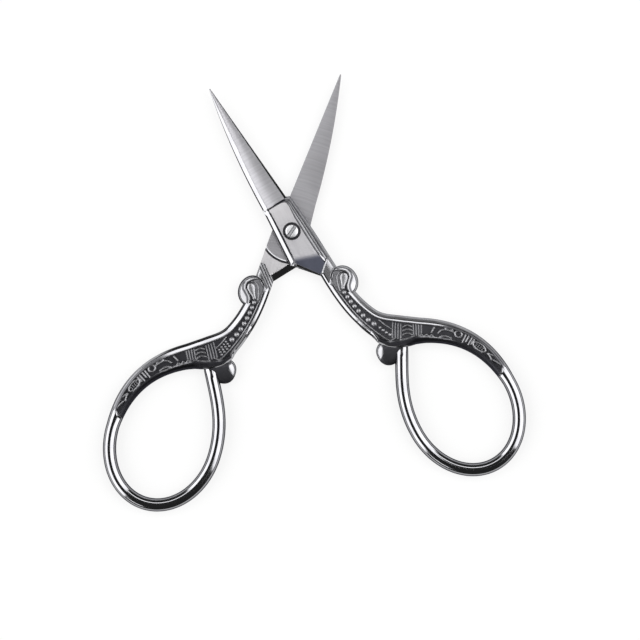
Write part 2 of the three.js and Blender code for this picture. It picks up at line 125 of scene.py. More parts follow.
def volume_of(mesh):
    """Adds up the tents from the origin to every triangle; faces that point outwards make it positive."""
    mesh.calc_loop_triangles()
    corners = np.empty(len(mesh.loop_triangles) * 3, np.int32)
    mesh.loop_triangles.foreach_get("vertices", corners)
    places = np.empty(len(mesh.vertices) * 3)
    mesh.vertices.foreach_get("co", places)
    a, b, c = np.moveaxis(places.reshape(-1, 3)[corners.reshape(-1, 3)], 1, 0)
    return float(np.einsum("ij,ij->i", a, np.cross(b, c)).sum() / 6), len(corners) // 3


def make_piece(name, body, surfaces, finishes, node, lay=None):
    """One object at the origin from closed surfaces; it rides on its body and stands for a CAD node."""
    offsets = np.cumsum([0] + [len(s["points"]) for s in surfaces[:-1]])
    points = np.concatenate([s["points"] for s in surfaces])
    faces = [[i + off for i in f] for s, off in zip(surfaces, offsets.tolist()) for f in s["faces"]]
    mesh = bpy.data.meshes.new(name)
    mesh.from_pydata(lay_down(points, lay or body) * MM, [], faces)
    mesh.polygons.foreach_set("material_index", sum([s["finishes"] for s in surfaces], []))
    bench = mesh.attributes.new("bench", "FLOAT_VECTOR", "POINT")
    bench.data.foreach_set("vector", points.ravel())
    for mark in ("recess", "blend"):
        values = np.concatenate([s[mark] for s in surfaces])
        mesh.attributes.new(mark, "FLOAT", "POINT").data.foreach_set("value", values)
    mesh.shade_smooth()
    mesh.set_sharp_from_angle(angle=SHARP)
    for finish in finishes:
        mesh.materials.append(finish)
    piece = bpy.data.objects.new(name, mesh)
    bpy.context.scene.collection.objects.link(piece)
    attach(piece, body)
    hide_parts(node)
    volume, triangles = volume_of(mesh)
    print(name, triangles, "triangles", round(volume / MM**3, 2), "mm3")


print("edges over", round(math.degrees(SHARP)), "degrees stay sharp")

# %% [markdown]
# ## Finishes
# The handles are forged with their carving, plated in dark nickel and polished, so the ridges are bright.
# Their black is painted shade on edges, steps, gaps and lines, and in the hollows it is the plating's own
# black with painted shade. The blades are ground bare across their width, and the joint is brushed along
# its length, with a dark painted reflection on its lower part. All three share two effects: slow smears
# of wear, and fine grinding lines.
# Each effect is a node group, so one change in it reaches every finish.

# %% Node helpers


def add(tree, kind, inputs=None, **settings):
    """Adds one node, sets its properties, and sets or links the inputs that are named."""
    made = tree.nodes.new(kind)
    for key, value in settings.items():
        setattr(made, key, value)
    for key, value in (inputs or {}).items():
        if isinstance(value, bpy.types.NodeSocket):
            tree.links.new(value, made.inputs[key])
        else:
            made.inputs[key].default_value = value
    return made


def number(tree, operation, *values):
    """One Math node on the given values or sockets; its result is returned."""
    return add(tree, "ShaderNodeMath", dict(enumerate(values)), operation=operation).outputs[0]


def spread(tree, value, low, high, to_low=0.0, to_high=1.0):
    """Carries a value smoothly from one range to another."""
    ends = {"From Min": low, "From Max": high, "To Min": to_low, "To Max": to_high, "Value": value}
    return add(tree, "ShaderNodeMapRange", ends, interpolation_type="SMOOTHSTEP").outputs["Result"]


def new_group(name, inputs, outputs):
    """An empty shader group with named number inputs and outputs."""
    group = bpy.data.node_groups.new(name, "ShaderNodeTree")
    for socket, value in inputs.items():
        made = group.interface.new_socket(socket, in_out="INPUT", socket_type="NodeSocketFloat")
        made.default_value = value
    for socket in outputs:
        group.interface.new_socket(socket, in_out="OUTPUT", socket_type="NodeSocketFloat")
    return group, group.nodes.new("NodeGroupInput").outputs, group.nodes.new("NodeGroupOutput").inputs


# %% Slow wear
SMEAR_RANGE = (0.32, 0.68)
wear_inputs = {"Patches": 180.0, "Least": 0.08, "Most": 0.16}
wear, given, result = new_group("slow_wear", wear_inputs, ["Rough", "Smear"])
place = add(wear, "ShaderNodeTexCoord").outputs["Object"]
patches = add(wear, "ShaderNodeTexNoise", {"Vector": place, "Scale": given["Patches"], "Detail": 4.0})
smear = spread(wear, patches.outputs["Fac"], *SMEAR_RANGE)
wear.links.new(smear, result["Smear"])
reach = number(wear, "SUBTRACT", given["Most"], given["Least"])
wear.links.new(number(wear, "MULTIPLY_ADD", smear, reach, given["Least"]), result["Rough"])
print("group", wear.name)

# %% Grinding lines
DRIFT_RANGE = (0.3, 0.7)
line_inputs = {"Across": 1.0, "Along": 16.0, "Bow": 0.0}
lines, given, result = new_group("grinding_lines", line_inputs, ["Line", "Drift"])
bench = add(lines, "ShaderNodeAttribute", attribute_name="bench").outputs["Vector"]
split = add(lines, "ShaderNodeSeparateXYZ", {"Vector": bench}).outputs
bowed = number(lines, "MULTIPLY", number(lines, "POWER", split["X"], 2.0), given["Bow"])
stretched = {
    "X": number(lines, "MULTIPLY", split["X"], given["Across"]),
    "Y": number(lines, "MULTIPLY", number(lines, "ADD", split["Y"], bowed), given["Along"]),
    "Z": split["Z"],
}
drawn = add(lines, "ShaderNodeCombineXYZ", stretched).outputs["Vector"]
fine = add(lines, "ShaderNodeTexNoise", {"Vector": drawn, "Scale": 1.0, "Detail": 3.0, "Roughness": 0.6})
broad = add(lines, "ShaderNodeTexNoise", {"Vector": drawn, "Scale": 0.12, "Detail": 2.0})
lines.links.new(fine.outputs["Fac"], result["Line"])
lines.links.new(spread(lines, broad.outputs["Fac"], *DRIFT_RANGE), result["Drift"])
print("group", lines.name)

# %% Parts that the finishes share
GLANCING_TINT = (0.35, 0.35, 0.37, 1.0)
# Black for painted shade, and for the plating's own black in the hollows.
BLACK_PLATING_AND_SHADE = (0.03, 0.03, 0.036, 1.0)
PLATED_PATCHES, FORGED_SOFT, HOLLOW_DULL = 260.0, 0.36, 0.3


def group_node(tree, group, **values):
    """Places a shared effect in a finish with its own values."""
    inputs = {name.capitalize(): value for name, value in values.items()}
    return add(tree, "ShaderNodeGroup", inputs, node_tree=group).outputs


def mark_of(tree, name):
    """Reads one of the marks that stay on the points."""
    return add(tree, "ShaderNodeAttribute", attribute_name=name).outputs["Fac"]


def blend_colours(tree, share, first, second):
    """Mixes two colours by a share that changes over the surface."""
    made = add(tree, "ShaderNodeMix", {"Factor": share}, data_type="RGBA")
    for socket, colour in (("A", first), ("B", second)):
        target = [s for s in made.inputs if s.name == socket and s.type == "RGBA"][0]
        if isinstance(colour, bpy.types.NodeSocket):
            tree.links.new(colour, target)
        else:
            target.default_value = colour
    return [s for s in made.outputs if s.type == "RGBA"][0]


def new_finish(name):
    """A metal material with only its shader and output left in it."""
    made = bpy.data.materials.new(name)
    made.use_nodes = True
    shader = made.node_tree.nodes["Principled BSDF"].inputs
    shader["Metallic"].default_value = 1.0
    return made, made.node_tree, shader


def plated_finish(name, clean, worn_out, least, most):
    """Polished plating that smears a little, turns soft as forged where the blend mark is high, and goes
    black and dull where the black mark is high: that is painted shade, and in the hollows the plating's own
    black as well."""
    made, tree, shader = new_finish(name)
    worn = group_node(tree, wear, patches=PLATED_PATCHES, least=least, most=most)
    # The black mark: painted shade, and in the hollows the plating's own black too.
    depth = mark_of(tree, "recess")
    plating = blend_colours(tree, worn["Smear"], clean, worn_out)
    tree.links.new(blend_colours(tree, depth, plating, BLACK_PLATING_AND_SHADE), shader["Base Color"])
    shader["Specular Tint"].default_value = GLANCING_TINT
    rough = number(tree, "MULTIPLY_ADD", mark_of(tree, "blend"), FORGED_SOFT, worn["Rough"])
    tree.links.new(number(tree, "MULTIPLY_ADD", depth, HOLLOW_DULL, rough), shader["Roughness"])
    return made


# %% The four finishes
PLATING, PLATING_WORN = (0.4, 0.4, 0.415, 1.0), (0.35, 0.35, 0.365, 1.0)
SCREW_STEEL, SCREW_WORN = (0.88, 0.88, 0.9, 1.0), (0.8, 0.8, 0.82, 1.0)
BLADE_STEEL, BLADE_DULL = (0.45, 0.445, 0.465, 1.0), (0.38, 0.375, 0.395, 1.0)
PANEL_STEEL, PANEL_DULL = (0.635, 0.625, 0.64, 1.0), (0.575, 0.565, 0.58, 1.0)
PAINTED_DARK_REFLECTION, SOFT_POLISH = (0.17, 0.18, 0.235, 1.0), 0.22
GROUND_PATCHES, LINE_SHARE, DRIFT_SHARE, SHADE_RANGE = 120.0, 0.7, 0.3, (0.25, 0.75)
LINE_ROUGH, LINE_DEEP = 0.08, 0.002


def ground_finish(name, clean, dull, least, most, across, along, bow):
    """Bare steel with fine lines in its colour, roughness and height, and slow drifts of tone. Where the
    blend mark is high it goes smoother, and its colour goes over to a dark bluish painted reflection of the
    dark side of the tent."""
    made, tree, shader = new_finish(name)
    worn = group_node(tree, wear, patches=GROUND_PATCHES, least=least, most=most)
    lined = group_node(tree, lines, across=across, along=along, bow=bow)
    drift = number(tree, "MULTIPLY", lined["Drift"], DRIFT_SHARE)
    shade = number(tree, "MULTIPLY_ADD", lined["Line"], LINE_SHARE, drift)
    steel = blend_colours(tree, spread(tree, shade, *SHADE_RANGE), dull, clean)
    over = mark_of(tree, "blend")
    tree.links.new(blend_colours(tree, over, steel, PAINTED_DARK_REFLECTION), shader["Base Color"])
    rough = number(tree, "MULTIPLY_ADD", lined["Line"], LINE_ROUGH, worn["Rough"])
    tree.links.new(number(tree, "MULTIPLY_ADD", over, SOFT_POLISH - least, rough), shader["Roughness"])
    height = {"Height": lined["Line"], "Strength": 1.0, "Distance": LINE_DEEP * MM}
    tree.links.new(add(tree, "ShaderNodeBump", height).outputs["Normal"], shader["Normal"])
    return made


plated = plated_finish("plated_handle", PLATING, PLATING_WORN, least=0.07, most=0.13)
bright = plated_finish("polished_screw", SCREW_STEEL, SCREW_WORN, least=0.42, most=0.48)
across_blade = {"across": 0.3, "along": 16.0, "bow": 0.02}
along_joint = {"across": 10.0, "along": 1.2, "bow": 0.0}
ground = ground_finish("ground_blade", BLADE_STEEL, BLADE_DULL, least=0.38, most=0.43, **across_blade)
brushed = ground_finish("brushed_joint", PANEL_STEEL, PANEL_DULL, least=0.5, most=0.56, **along_joint)
print("finishes", [m.name for m in bpy.data.materials])

# %% [markdown]
# ## Blades
# A blade tapers from the shoulder to a needle point. Its back carries a narrow polished band, the flank is
# ground hollow down to a thin bevel at the cutting edge, and the inner face is dished so that two blades
# touch only at their edges. A section across it is easy to write down, so the blade is that section
# carried along its length, and no bevels or cuts are needed.

# %% Blade
HALVES = ("front", "back")
HANDLE_FINISHES = [plated, brushed, ground]
PLATED, BRUSHED, GROUND = range(3)
INNER, RIDE_CUT = 0.05, 0.08
BLADE_REACH, SHOULDER = 40.0, 7.6
BLADE_BACK, BLADE_EDGE, BACK_BELLY = 3.6, 3.0, 0.8
BAND_WIDE, BAND_SHARE, BAND_SLOPE, BAND_STEP = 1.15, 0.28, 0.4, 0.08
BACK_CHAMFER, CHAMFER_SHARE, CHAMFER_SLOPE = 0.4, 0.06, 0.85
BEVEL_WIDE, BEVEL_POINT, BEVEL_SHARE, BEVEL_SLOPE = 0.5, 0.06, 0.16, 0.88
BLADE_THICK, POINT_THICK, POINT_WIDTH = 1.35, 0.45, 0.3
FLANK_CURVE, DISH, DISH_FROM, EDGE_LAND = 3.2, 0.12, 0.2, 0.08
# The least size of a step or a hollow, so that no two points fall together.
HAIR = 0.01
BLADE_STEPS, FEW, MANY = 160, 4, 26


def smooth(share):
    """Rises from 0 to 1 with level ends: 3 s squared less 2 s cubed, held between 0 and 1."""
    held = np.clip(share, 0, 1)
    return held * held * (3 - 2 * held)


def blade_surface():
    """Section by section from shoulder to point: up the back, over a chamfer and the band, down a fine
    step, the hollow flank and the bevel, home along the dished inner face. The edge side narrows in a
    line, the back with a belly; the flank falls by a power, so it is steep at the band and flat below."""
    t = np.linspace(0, 1, BLADE_STEPS)[:, None]
    left = 1 - t
    back = -BLADE_BACK * left * (1 + BACK_BELLY * t) - POINT_WIDTH / 2 * t
    edge = BLADE_EDGE * left + POINT_WIDTH / 2 * t
    wide = edge - back
    cut = np.minimum(BACK_CHAMFER, CHAMFER_SHARE * wide)
    ridge = back + np.minimum(BAND_WIDE, BAND_SHARE * wide)
    foot = ridge + BAND_STEP * left
    bevel = edge - np.minimum(BEVEL_WIDE * left + BEVEL_POINT, BEVEL_SHARE * wide)
    thick = BLADE_THICK + (POINT_THICK - BLADE_THICK) * t
    tall = thick - BAND_SLOPE * (ridge - back - cut)
    side = tall - CHAMFER_SLOPE * cut
    low = EDGE_LAND + BEVEL_SLOPE * (edge - bevel)
    crest = thick - BAND_STEP * left - HAIR
    few, many = [np.linspace(0, 1, count)[None, :-1] for count in (FEW, MANY)]
    hollow = (DISH * left * smooth(t / DISH_FROM) + HAIR) * np.sin(math.pi * many)
    stretches = [
        (PLATED, back + 0 * few, side * few),
        (PLATED, back + cut * few, side + (tall - side) * few),
        (PLATED, back + cut + (ridge - back - cut) * many, tall + (thick - tall) * many),
        (PLATED, ridge + (foot - ridge) * few, thick + (crest - thick) * few),
        (GROUND, foot + (bevel - foot) * many, low + (crest - low) * (1 - many) ** FLANK_CURVE),
        (PLATED, bevel + (edge - bevel) * few, low + (EDGE_LAND - low) * few),
        (PLATED, edge + 0 * few, EDGE_LAND * (1 - few) + 0 * edge),
        (GROUND, edge + (back - edge) * many, hollow),
    ]
    x = np.concatenate([across for _, across, _ in stretches], axis=1)
    z = np.concatenate([height for _, _, height in stretches], axis=1)
    kinds = np.concatenate([np.full(across.shape[1], kind) for kind, across, _ in stretches])
    y = SHOULDER + (BLADE_REACH - SHOULDER) * t + 0 * x
    return surface(np.stack([x, y, z + INNER + RIDE_CUT], axis=-1), finish=kinds[None, :])


def make_of_half(half, part, surfaces):
    """A piece of one half, with the half's own body, CAD node and finishes."""
    make_piece(half + "_" + part, half, surfaces, HANDLE_FINISHES, half + "_half")


for half in HALVES:
    make_of_half(half, "blade", [blade_surface()])

# %% [markdown]
# ## Joint
# The joint is a flat plate with a raised, brushed panel, a polished bevel down its left side and three
# fine steps down its right. Under it, the round area where the halves ride on each other is ground, and
# the heel is chamfered. Seen from the screw every edge of it is in plain sight, so the whole plate can be
# written as rings round the screw hole: over the top, down the hole, out along the bottom and up the side.

# %% Outline of the joint
LEFT_TOP, HEEL, NECK_LEFT, NECK_RIGHT = (-3.6, 7.8), (-4.5, -7.0), (0.7, -13.0), (5.0, -13.0)
BELLY, RIGHT_TOP = (5.0, -2.6), (3.8, 7.8)
BAND_INNER, CORNER_FROM = -2.75, 2.6
SIDE_POINTS, RIGHT_POINTS = {"shoulder": 60, "left": 90, "heel": 60, "neck": 30}, 120


def plate_outline():
    """Points round the plate from the upper right corner, and the name of the side that each is on. The
    right side is a curve with one handle. The ends of the shoulder count to the sides next to it."""
    corners = [np.array(p) for p in (RIGHT_TOP, LEFT_TOP, HEEL, NECK_LEFT, NECK_RIGHT)]
    points, names = [], []
    for (side, count), a, b in zip(SIDE_POINTS.items(), corners, corners[1:]):
        points.append(a + (b - a) * np.linspace(0, 1, count, endpoint=False)[:, None])
        names += [side] * count
    t = np.linspace(0, 1, RIGHT_POINTS, endpoint=False)[:, None]
    points.append((1 - t) ** 2 * corners[4] + 2 * (1 - t) * t * np.array(BELLY) + t**2 * corners[0])
    outline, sides = np.concatenate(points), np.array(names + ["right"] * RIGHT_POINTS)
    shoulder = sides == "shoulder"
    sides[shoulder & (outline[:, 0] < BAND_INNER)] = "left"
    sides[shoulder & (outline[:, 0] > CORNER_FROM)] = "right"
    return outline, sides


def reach_of(outline, rays):
    """Distance from the screw to a closed outline along each ray: every side is met by every ray, as two
    lines that cross, and the nearest hit in front counts."""
    start = np.array(outline)
    run = np.roll(start, -1, axis=0) - start
    turn = rays[:, None, 0] * run[None, :, 1] - rays[:, None, 1] * run[None, :, 0]
    far = (start[:, 0] * run[:, 1] - start[:, 1] * run[:, 0])[None, :] / turn
    share = (start[None, :, 0] * rays[:, None, 1] - start[None, :, 1] * rays[:, None, 0]) / turn
    hit = (share >= -1e-9) & (share <= 1 + 1e-9) & (far > 0)
    return np.where(hit, far, np.inf).min(axis=1)


def outward(a, b):
    """Unit direction that points to the right of the way from a to b."""
    run = np.array(b) - np.array(a)
    return np.array([run[1], -run[0]]) / np.linalg.norm(run)


def line_distance(x, y, a, b):
    """How far points lie to the left of the line from a to b."""
    right = outward(a, b)
    return -right[0] * (x - a[0]) - right[1] * (y - a[1])


print("plate outline", len(plate_outline()[0]), "points")

# %% Sides of the joint
PANEL = [(2.42, 5.6), (2.3, 6.5), (1.95, 6.98), (1.3, 7.2), (-2.2, 7.2), (-2.4, 0.8), (-2.7, -4.0),
         (-2.95, -7.4), (0.9, -12.6), (3.15, -10.8), (2.6, -7.3), (2.3, -2.6), (2.2, 2.5)]
PANEL_HEEL, PANEL_MARGIN = np.array(PANEL[7]), 0.2
EVEN = np.linspace(0, 1, 11).tolist()
# Fractions from the panel's edge to the plate's outline, and the height at each, side by side.
STEPS = {
    "shoulder": [(0, 1.8), (0.06, 1.78), (0.12, 1.76), (0.2, 1.73), (0.3, 1.62), (0.38, 1.35),
                 (0.5, 1.1), (0.65, 0.95), (0.8, 0.85), (0.92, 0.78), (1, 0.7)],
    "left": [(share, 1.8) for share in EVEN],
    "heel": [(share, 1.8) for share in EVEN],
    "neck": [(share, 1.8 - 0.8 * share**0.5) for share in EVEN],
    "right": [(0, 1.8), (0.05, 1.67), (0.09, 1.665), (0.3, 1.57), (0.35, 1.45), (0.4, 1.445),
              (0.56, 1.4), (0.62, 1.2), (0.67, 1.19), (0.88, 1.17), (1, 0.6)],
}
# Bevel of the left side: how far in from its edge, and the height there.
LEFT_BEVEL = [(0, 0.85), (0.03, 0.96), (0.06, 0.986), (0.36, 1.25), (0.39, 1.2755), (0.44, 1.3),
              (0.8, 1.46), (1.12, 1.585), (1.23, 1.43), (1.27, 1.42)]
LEFT_END, RING_LEAST, HEEL_FALL = LEFT_TOP[1] - 0.1, 0.004, 0.8
CORNER_SOFT, CORNER_X, CORNER_Y = 4, (1.0, 1.0), (4.0, 1.5)


def past(value, start, long):
    """Smooth share of a change that begins at start and takes some length; a negative one runs back. Named
    pairs such as CORNER_X hold such a start and length."""
    return smooth((value - start) / long)


def side_rings(outline, sides, rays, edge, panel):
    """Reach and height of each ring between outline and panel, and where the left bevel is. A side has the
    steps of its table, softened at the upper right corner. The left side has its bevel, the heel falls in
    a plane from the panel, and the wedge between them has the lower of the two."""
    steps = np.array([STEPS[side] for side in sides])[:, ::-1]
    softened = np.mean([np.roll(steps, k, axis=0) for k in range(-CORNER_SOFT, CORNER_SOFT + 1)], axis=0)
    at_corner = past(outline[:, 0], *CORNER_X) * past(outline[:, 1], *CORNER_Y)
    steps = steps + (softened - steps) * at_corner[:, None, None]
    reaches, heights = panel + (edge - panel) * steps[..., 0].T, steps[..., 1].T
    left, heel = sides == "left", sides == "heel"
    wedge = heel & (rays[:, 0] * PANEL_HEEL[1] > rays[:, 1] * PANEL_HEEL[0])
    to_left, to_heel = outward(LEFT_TOP, HEEL), outward(HEEL, NECK_LEFT)
    toward = rays @ to_left
    depths, bevel = zip(*LEFT_BEVEL)
    depth, order = np.array(depths)[:, None], np.arange(len(depths))[:, None]
    far = np.where(left & (outline[:, 1] < LEFT_END), edge - depth / toward, reaches[:-1])
    in_wedge = np.minimum((np.array(LEFT_TOP) @ to_left - depth) / toward, edge - RING_LEAST * order)
    far = np.where(wedge, in_wedge, far)
    places = far[..., None] * rays
    inward = line_distance(places[..., 0], places[..., 1], LEFT_TOP, HEEL)
    high = np.where(left | wedge, np.interp(inward, depths, bevel), heights[:-1])
    fall = HEEL_FALL * (far - panel) * (rays @ to_heel)
    high = np.where(heel & ~wedge, HALF_THICK - fall, high)
    fall = HEEL_FALL * np.clip((places - PANEL_HEEL) @ to_heel, 0, None)
    high = np.where(wedge, np.minimum(high, HALF_THICK - fall), high)
    return np.vstack([far, reaches[-1:]]), np.vstack([high, heights[-1:]]), left | wedge


print("rings beside the panel", len(EVEN), "of them on the bevel", len(LEFT_BEVEL))

# %% Joint plate
PANEL_RINGS, INNER_RINGS = 25, (20, 18, 21)
PANEL_ROLL, PANEL_ROLL_FROM, PANEL_ROLL_LONG = 0.25, 5.7, 1.5
PANEL_TILT, PANEL_TILT_FROM, TILT_BEND, TILTED = 0.06, -6.3, 2.5, (1.0, 0.4)
SEAT_REACH, SEAT_HIGH, SEAT_CHAMFER = 2.04, 1.5, 0.17
BORES = {"front": 1.36, "back": 1.16}
RIDE_REACH, RIDE_EASE, RIDE_BEFORE, RIDE_AFTER, RIDE_SHARES = 7.3, 0.27, 0.25, 0.65, (0.8, 0.9)
HEEL_CHAMFER, HEEL_DROP = 1.6, 0.6
# Marks: how black each is, as painted shade, and how far it is polished, which on the brushed panel makes
# it smoother with a darker bluish painted reflection; and where it begins and over what length it grows.
GROOVE_DARK, GROOVE_MORE, GROOVE_FROM = 0.35, 0.6, (-6.8, 3.0)
SHOULDER_DARK, SEAT_DARK, RISER_DARK, RISERS = 0.95, 0.95, 0.8, (1, 2, 4, 5, 7, 8)
ARC_PLATED, ARC_DARK, ARC_LINE = (0.25, 0.4), 0.92, (0.36, 0.22)
PANEL_SHADE, PANEL_SHADE_FROM = 0.12, (5.0, -4.0)
POLISH_AND_REFLECTION_LEAN, POLISH_AND_REFLECTION_FROM, RIGHT_POLISH = 0.34, (-6.2, -1.9), 0.8


def rings_between(first, last, count):
    """Even rings after the first reach, up to the last."""
    return first + (last - first) * np.linspace(0, 1, count + 1)[1:, None]


def hole_of(half):
    """Reach and height of each ring down the hole; the front half has a seat for the head of the screw."""
    bore = BORES[half]
    mouth = SEAT_REACH if half == "front" else bore
    seat = [(SEAT_REACH, SEAT_HIGH), (bore, SEAT_HIGH)] if half == "front" else []
    return [(mouth, HALF_THICK - SEAT_CHAMFER)] + seat + [(bore, INNER + RIDE_CUT)]


def joint_surface(half):
    """Rings round the screw: outline, steps, panel, seat, bore, ground inner face, and up the wall."""
    outline, sides = plate_outline()
    edge = np.linalg.norm(outline, axis=1)
    rays = outline / edge[:, None]
    panel = np.minimum(reach_of(PANEL, rays), edge - PANEL_MARGIN)
    reaches, heights, bevelled = side_rings(outline, sides, rays, edge, panel)
    hole_reach, hole_high = [np.array(values)[:, None] + 0 * edge for values in zip(*hole_of(half))]
    ride_from = np.minimum(RIDE_REACH - RIDE_BEFORE, RIDE_SHARES[0] * edge)
    ride_until = np.minimum(RIDE_REACH + RIDE_AFTER, RIDE_SHARES[1] * edge)
    ends = [BORES[half], ride_from, ride_until, edge]
    inside = [rings_between(*stretch) for stretch in zip(ends, ends[1:], INNER_RINGS)]
    over = rings_between(panel, hole_reach[0] + SEAT_CHAMFER, PANEL_RINGS)
    reach = np.concatenate([reaches, over, hole_reach, *inside])
    last = len(reaches) - 1
    from_hole, from_inner = len(reaches) + PANEL_RINGS, len(reach) - sum(INNER_RINGS) - 1
    inner = np.arange(len(reach))[:, None] >= from_inner
    x, y = reach * rays[:, 0], reach * rays[:, 1]
    z = np.full(reach.shape, HALF_THICK)
    z[: last + 1] = heights
    tilt = PANEL_TILT * np.logaddexp(0, TILT_BEND * (PANEL_TILT_FROM - y)) / TILT_BEND
    roll = PANEL_ROLL * np.clip((y - PANEL_ROLL_FROM) / PANEL_ROLL_LONG, 0, 1) ** 2
    z = z - (tilt + roll) * past(z, *TILTED)
    z[from_hole : from_inner + 1] = hole_high
    beyond = np.where(y > 0, -1, reach - RIDE_REACH)
    ride = RIDE_CUT * np.clip(0.5 - beyond / RIDE_EASE, 0, 1)
    chamfer = HEEL_DROP * np.clip(1 - line_distance(x, y, HEEL, NECK_LEFT) / HEEL_CHAMFER, 0, 1)
    z = np.where(inner, INNER + np.maximum(ride, chamfer), z)
    finish = np.full(reach.shape, PLATED)
    finish[last:from_hole] = BRUSHED
    finish[from_inner + 1 : -1] = np.where(beyond > 0, BRUSHED, GROUND)[from_inner + 1 : -1]
    finish[inner & ((chamfer > 0) | (np.abs(beyond - ARC_PLATED[0]) < ARC_PLATED[1]))] = PLATED
    # Black marks, all painted shade: a line at the step of the ride, the groove at the foot of the left
    # bevel, the shadow under the shoulder, the risers of the right steps and the gap round the screw's
    # head.
    black = np.where(inner, ARC_DARK * (np.abs(beyond - ARC_LINE[0]) < ARC_LINE[1]), 0.0)
    foot = slice(last - 2, last + 1)
    black[foot, bevelled] = GROOVE_DARK + GROOVE_MORE * past(y[foot, bevelled], *GROOVE_FROM)
    black[1 : last - 4, sides == "shoulder"] = SHOULDER_DARK
    for riser in RISERS:
        black[last - riser, sides == "right"] = RISER_DARK
    if half == "front":
        black[from_hole:from_inner] = SEAT_DARK
    # Polished: smoother, and on the brushed panel a darker bluish painted reflection, strongest toward the
    # heel, with a little more painted shade lower down. On the plated right steps it only makes them
    # rougher.
    polished = past(y + POLISH_AND_REFLECTION_LEAN * x, *POLISH_AND_REFLECTION_FROM)
    polished = np.maximum(PANEL_SHADE * past(y, *PANEL_SHADE_FROM), polished) * ~inner
    polished[:last] = RIGHT_POLISH * (sides == "right")
    return surface(np.stack([x, y, z], axis=-1), finish, black, polished, wrap=True)


for half in HALVES:
    make_of_half(half, "joint", [joint_surface(half)])

# %% [markdown]
# ## The route of the handle
# From the joint the handle runs down the shank to a swing point, out over the arm, and round the oval bow
# to a thin strand that comes up under the swing. Curves with two handles give the shank, the arm and the
# strand; a half ellipse gives the lower bow. Each point of the carving is then a pair of numbers: how far
# it lies along the route from the swing, and how far to the outer side of the middle line.

# %% Route
START, SWING = np.array([2.85, -9.5]), np.array([12.6, -35.3])
BOW_MIDDLE, BOW_ACROSS, BOW_DOWN = np.array([14.65, -58.0]), 12.85, 15.75
STRAND_ROOT, STRAND_TOP = np.array([8.904, -37.94]), np.array([10.21, -34.18])
SWING_TURN, STRAND_TURN = math.radians(-25), math.radians(62)
SWING_WAY = np.array([math.cos(SWING_TURN), math.sin(SWING_TURN)])
STRAND_WAY = np.array([math.cos(STRAND_TURN), math.sin(STRAND_TURN)])
DOWN, UP = np.array([0.0, -1.0]), np.array([0.0, 1.0])
SHANK_PULL, ARM_PULL, STRAND_PULL = (0.56, 0.3), (0.42, 0.53), (0.45, 0.315)
BEND_POINTS, BOW_POINTS = 400, 600


def bend(a, way_a, b, way_b, pull):
    """A smooth curve that leaves a and meets b in the given ways; the two pulls are shares of the drop."""
    drop = abs(b[1] - a[1])
    t = np.linspace(0, 1, BEND_POINTS)[:, None]
    out, back = a + way_a * pull[0] * drop, b - way_b * pull[1] * drop
    return (1 - t) ** 3 * a + 3 * (1 - t) ** 2 * t * out + 3 * (1 - t) * t**2 * back + t**3 * b


def length_of(path):
    """Sum of the straight steps of a path."""
    return float(np.linalg.norm(np.diff(path, axis=0), axis=1).sum())


def follow(path, distance):
    """Point and unit direction at each distance along a path, between its points in straight lines."""
    run = np.concatenate([[0], np.cumsum(np.linalg.norm(np.diff(path, axis=0), axis=1))])
    slope = np.gradient(path, run, axis=0)
    places = np.stack([np.interp(distance, run, path[:, k]) for k in (0, 1)], axis=-1)
    ways = np.stack([np.interp(distance, run, slope[:, k]) for k in (0, 1)], axis=-1)
    return places, ways / np.linalg.norm(ways, axis=-1, keepdims=True)


bow_side = np.array([BOW_ACROSS, 0])
shank_path = bend(START, DOWN, SWING, SWING_WAY, SHANK_PULL)
arm_path = bend(SWING, SWING_WAY, BOW_MIDDLE + bow_side, DOWN, ARM_PULL)
turn = np.linspace(0, -math.pi, BOW_POINTS)[:, None]
lower_bow = BOW_MIDDLE + np.concatenate([BOW_ACROSS * np.cos(turn), BOW_DOWN * np.sin(turn)], axis=1)
strand_path = bend(BOW_MIDDLE - bow_side, UP, STRAND_ROOT, STRAND_WAY, STRAND_PULL)
SHANK_LONG, ARM_LONG = length_of(shank_path), length_of(arm_path)
carved_path = np.concatenate([shank_path, arm_path[1:]])
wire_path = np.concatenate([lower_bow, strand_path[1:], STRAND_TOP[None, :]])
for name, path in (("shank", shank_path), ("arm", arm_path), ("wire", wire_path)):
    print(name, round(length_of(path), 2), "mm")

# %% [markdown]
# ## Carved shank and arm
# The shank widens to the swing and narrows again along the arm. Its edges are rounded up to a bright
# crest, and between the crests lies a sunk field with a second rim, two collars of fine lines, a panel of
# waves, a leaf scroll, a ring, bars and a lattice eye. A carver would cut these with a few punches and a
# graver. Here each cut is a ridge: a line drawn in route numbers, with a round back of some width and
# height. The height of the face is the field's floor, or the highest ridge over it, whichever is more.

# %% The ornament, ridge by ridge
FINE, TOOTH, WAVE, STOUT = 0.26, 0.25, 0.31, 0.34
COLLAR_RISE, LOW_RISE, RISE = 0.16, 0.42, 0.48
SECOND_RIM = [(-22.4, -0.65), (-21, -0.78), (-17, -0.93), (-13, -1.14), (-10, -1.38), (-8.2, -1.62),
              (-6, -2.1), (-5, -2.45), (-4, -2.6), (-3.4, -1.95)]
FINE_LINES = [
    [(-2.0, -1.95), (0.2, -1.5), (1.2, -1.15)],
    [(-8.2, 1.1), (-4.6, 0.3)],
    [(18.5, 1.0), (22.3, 1.1)],
]
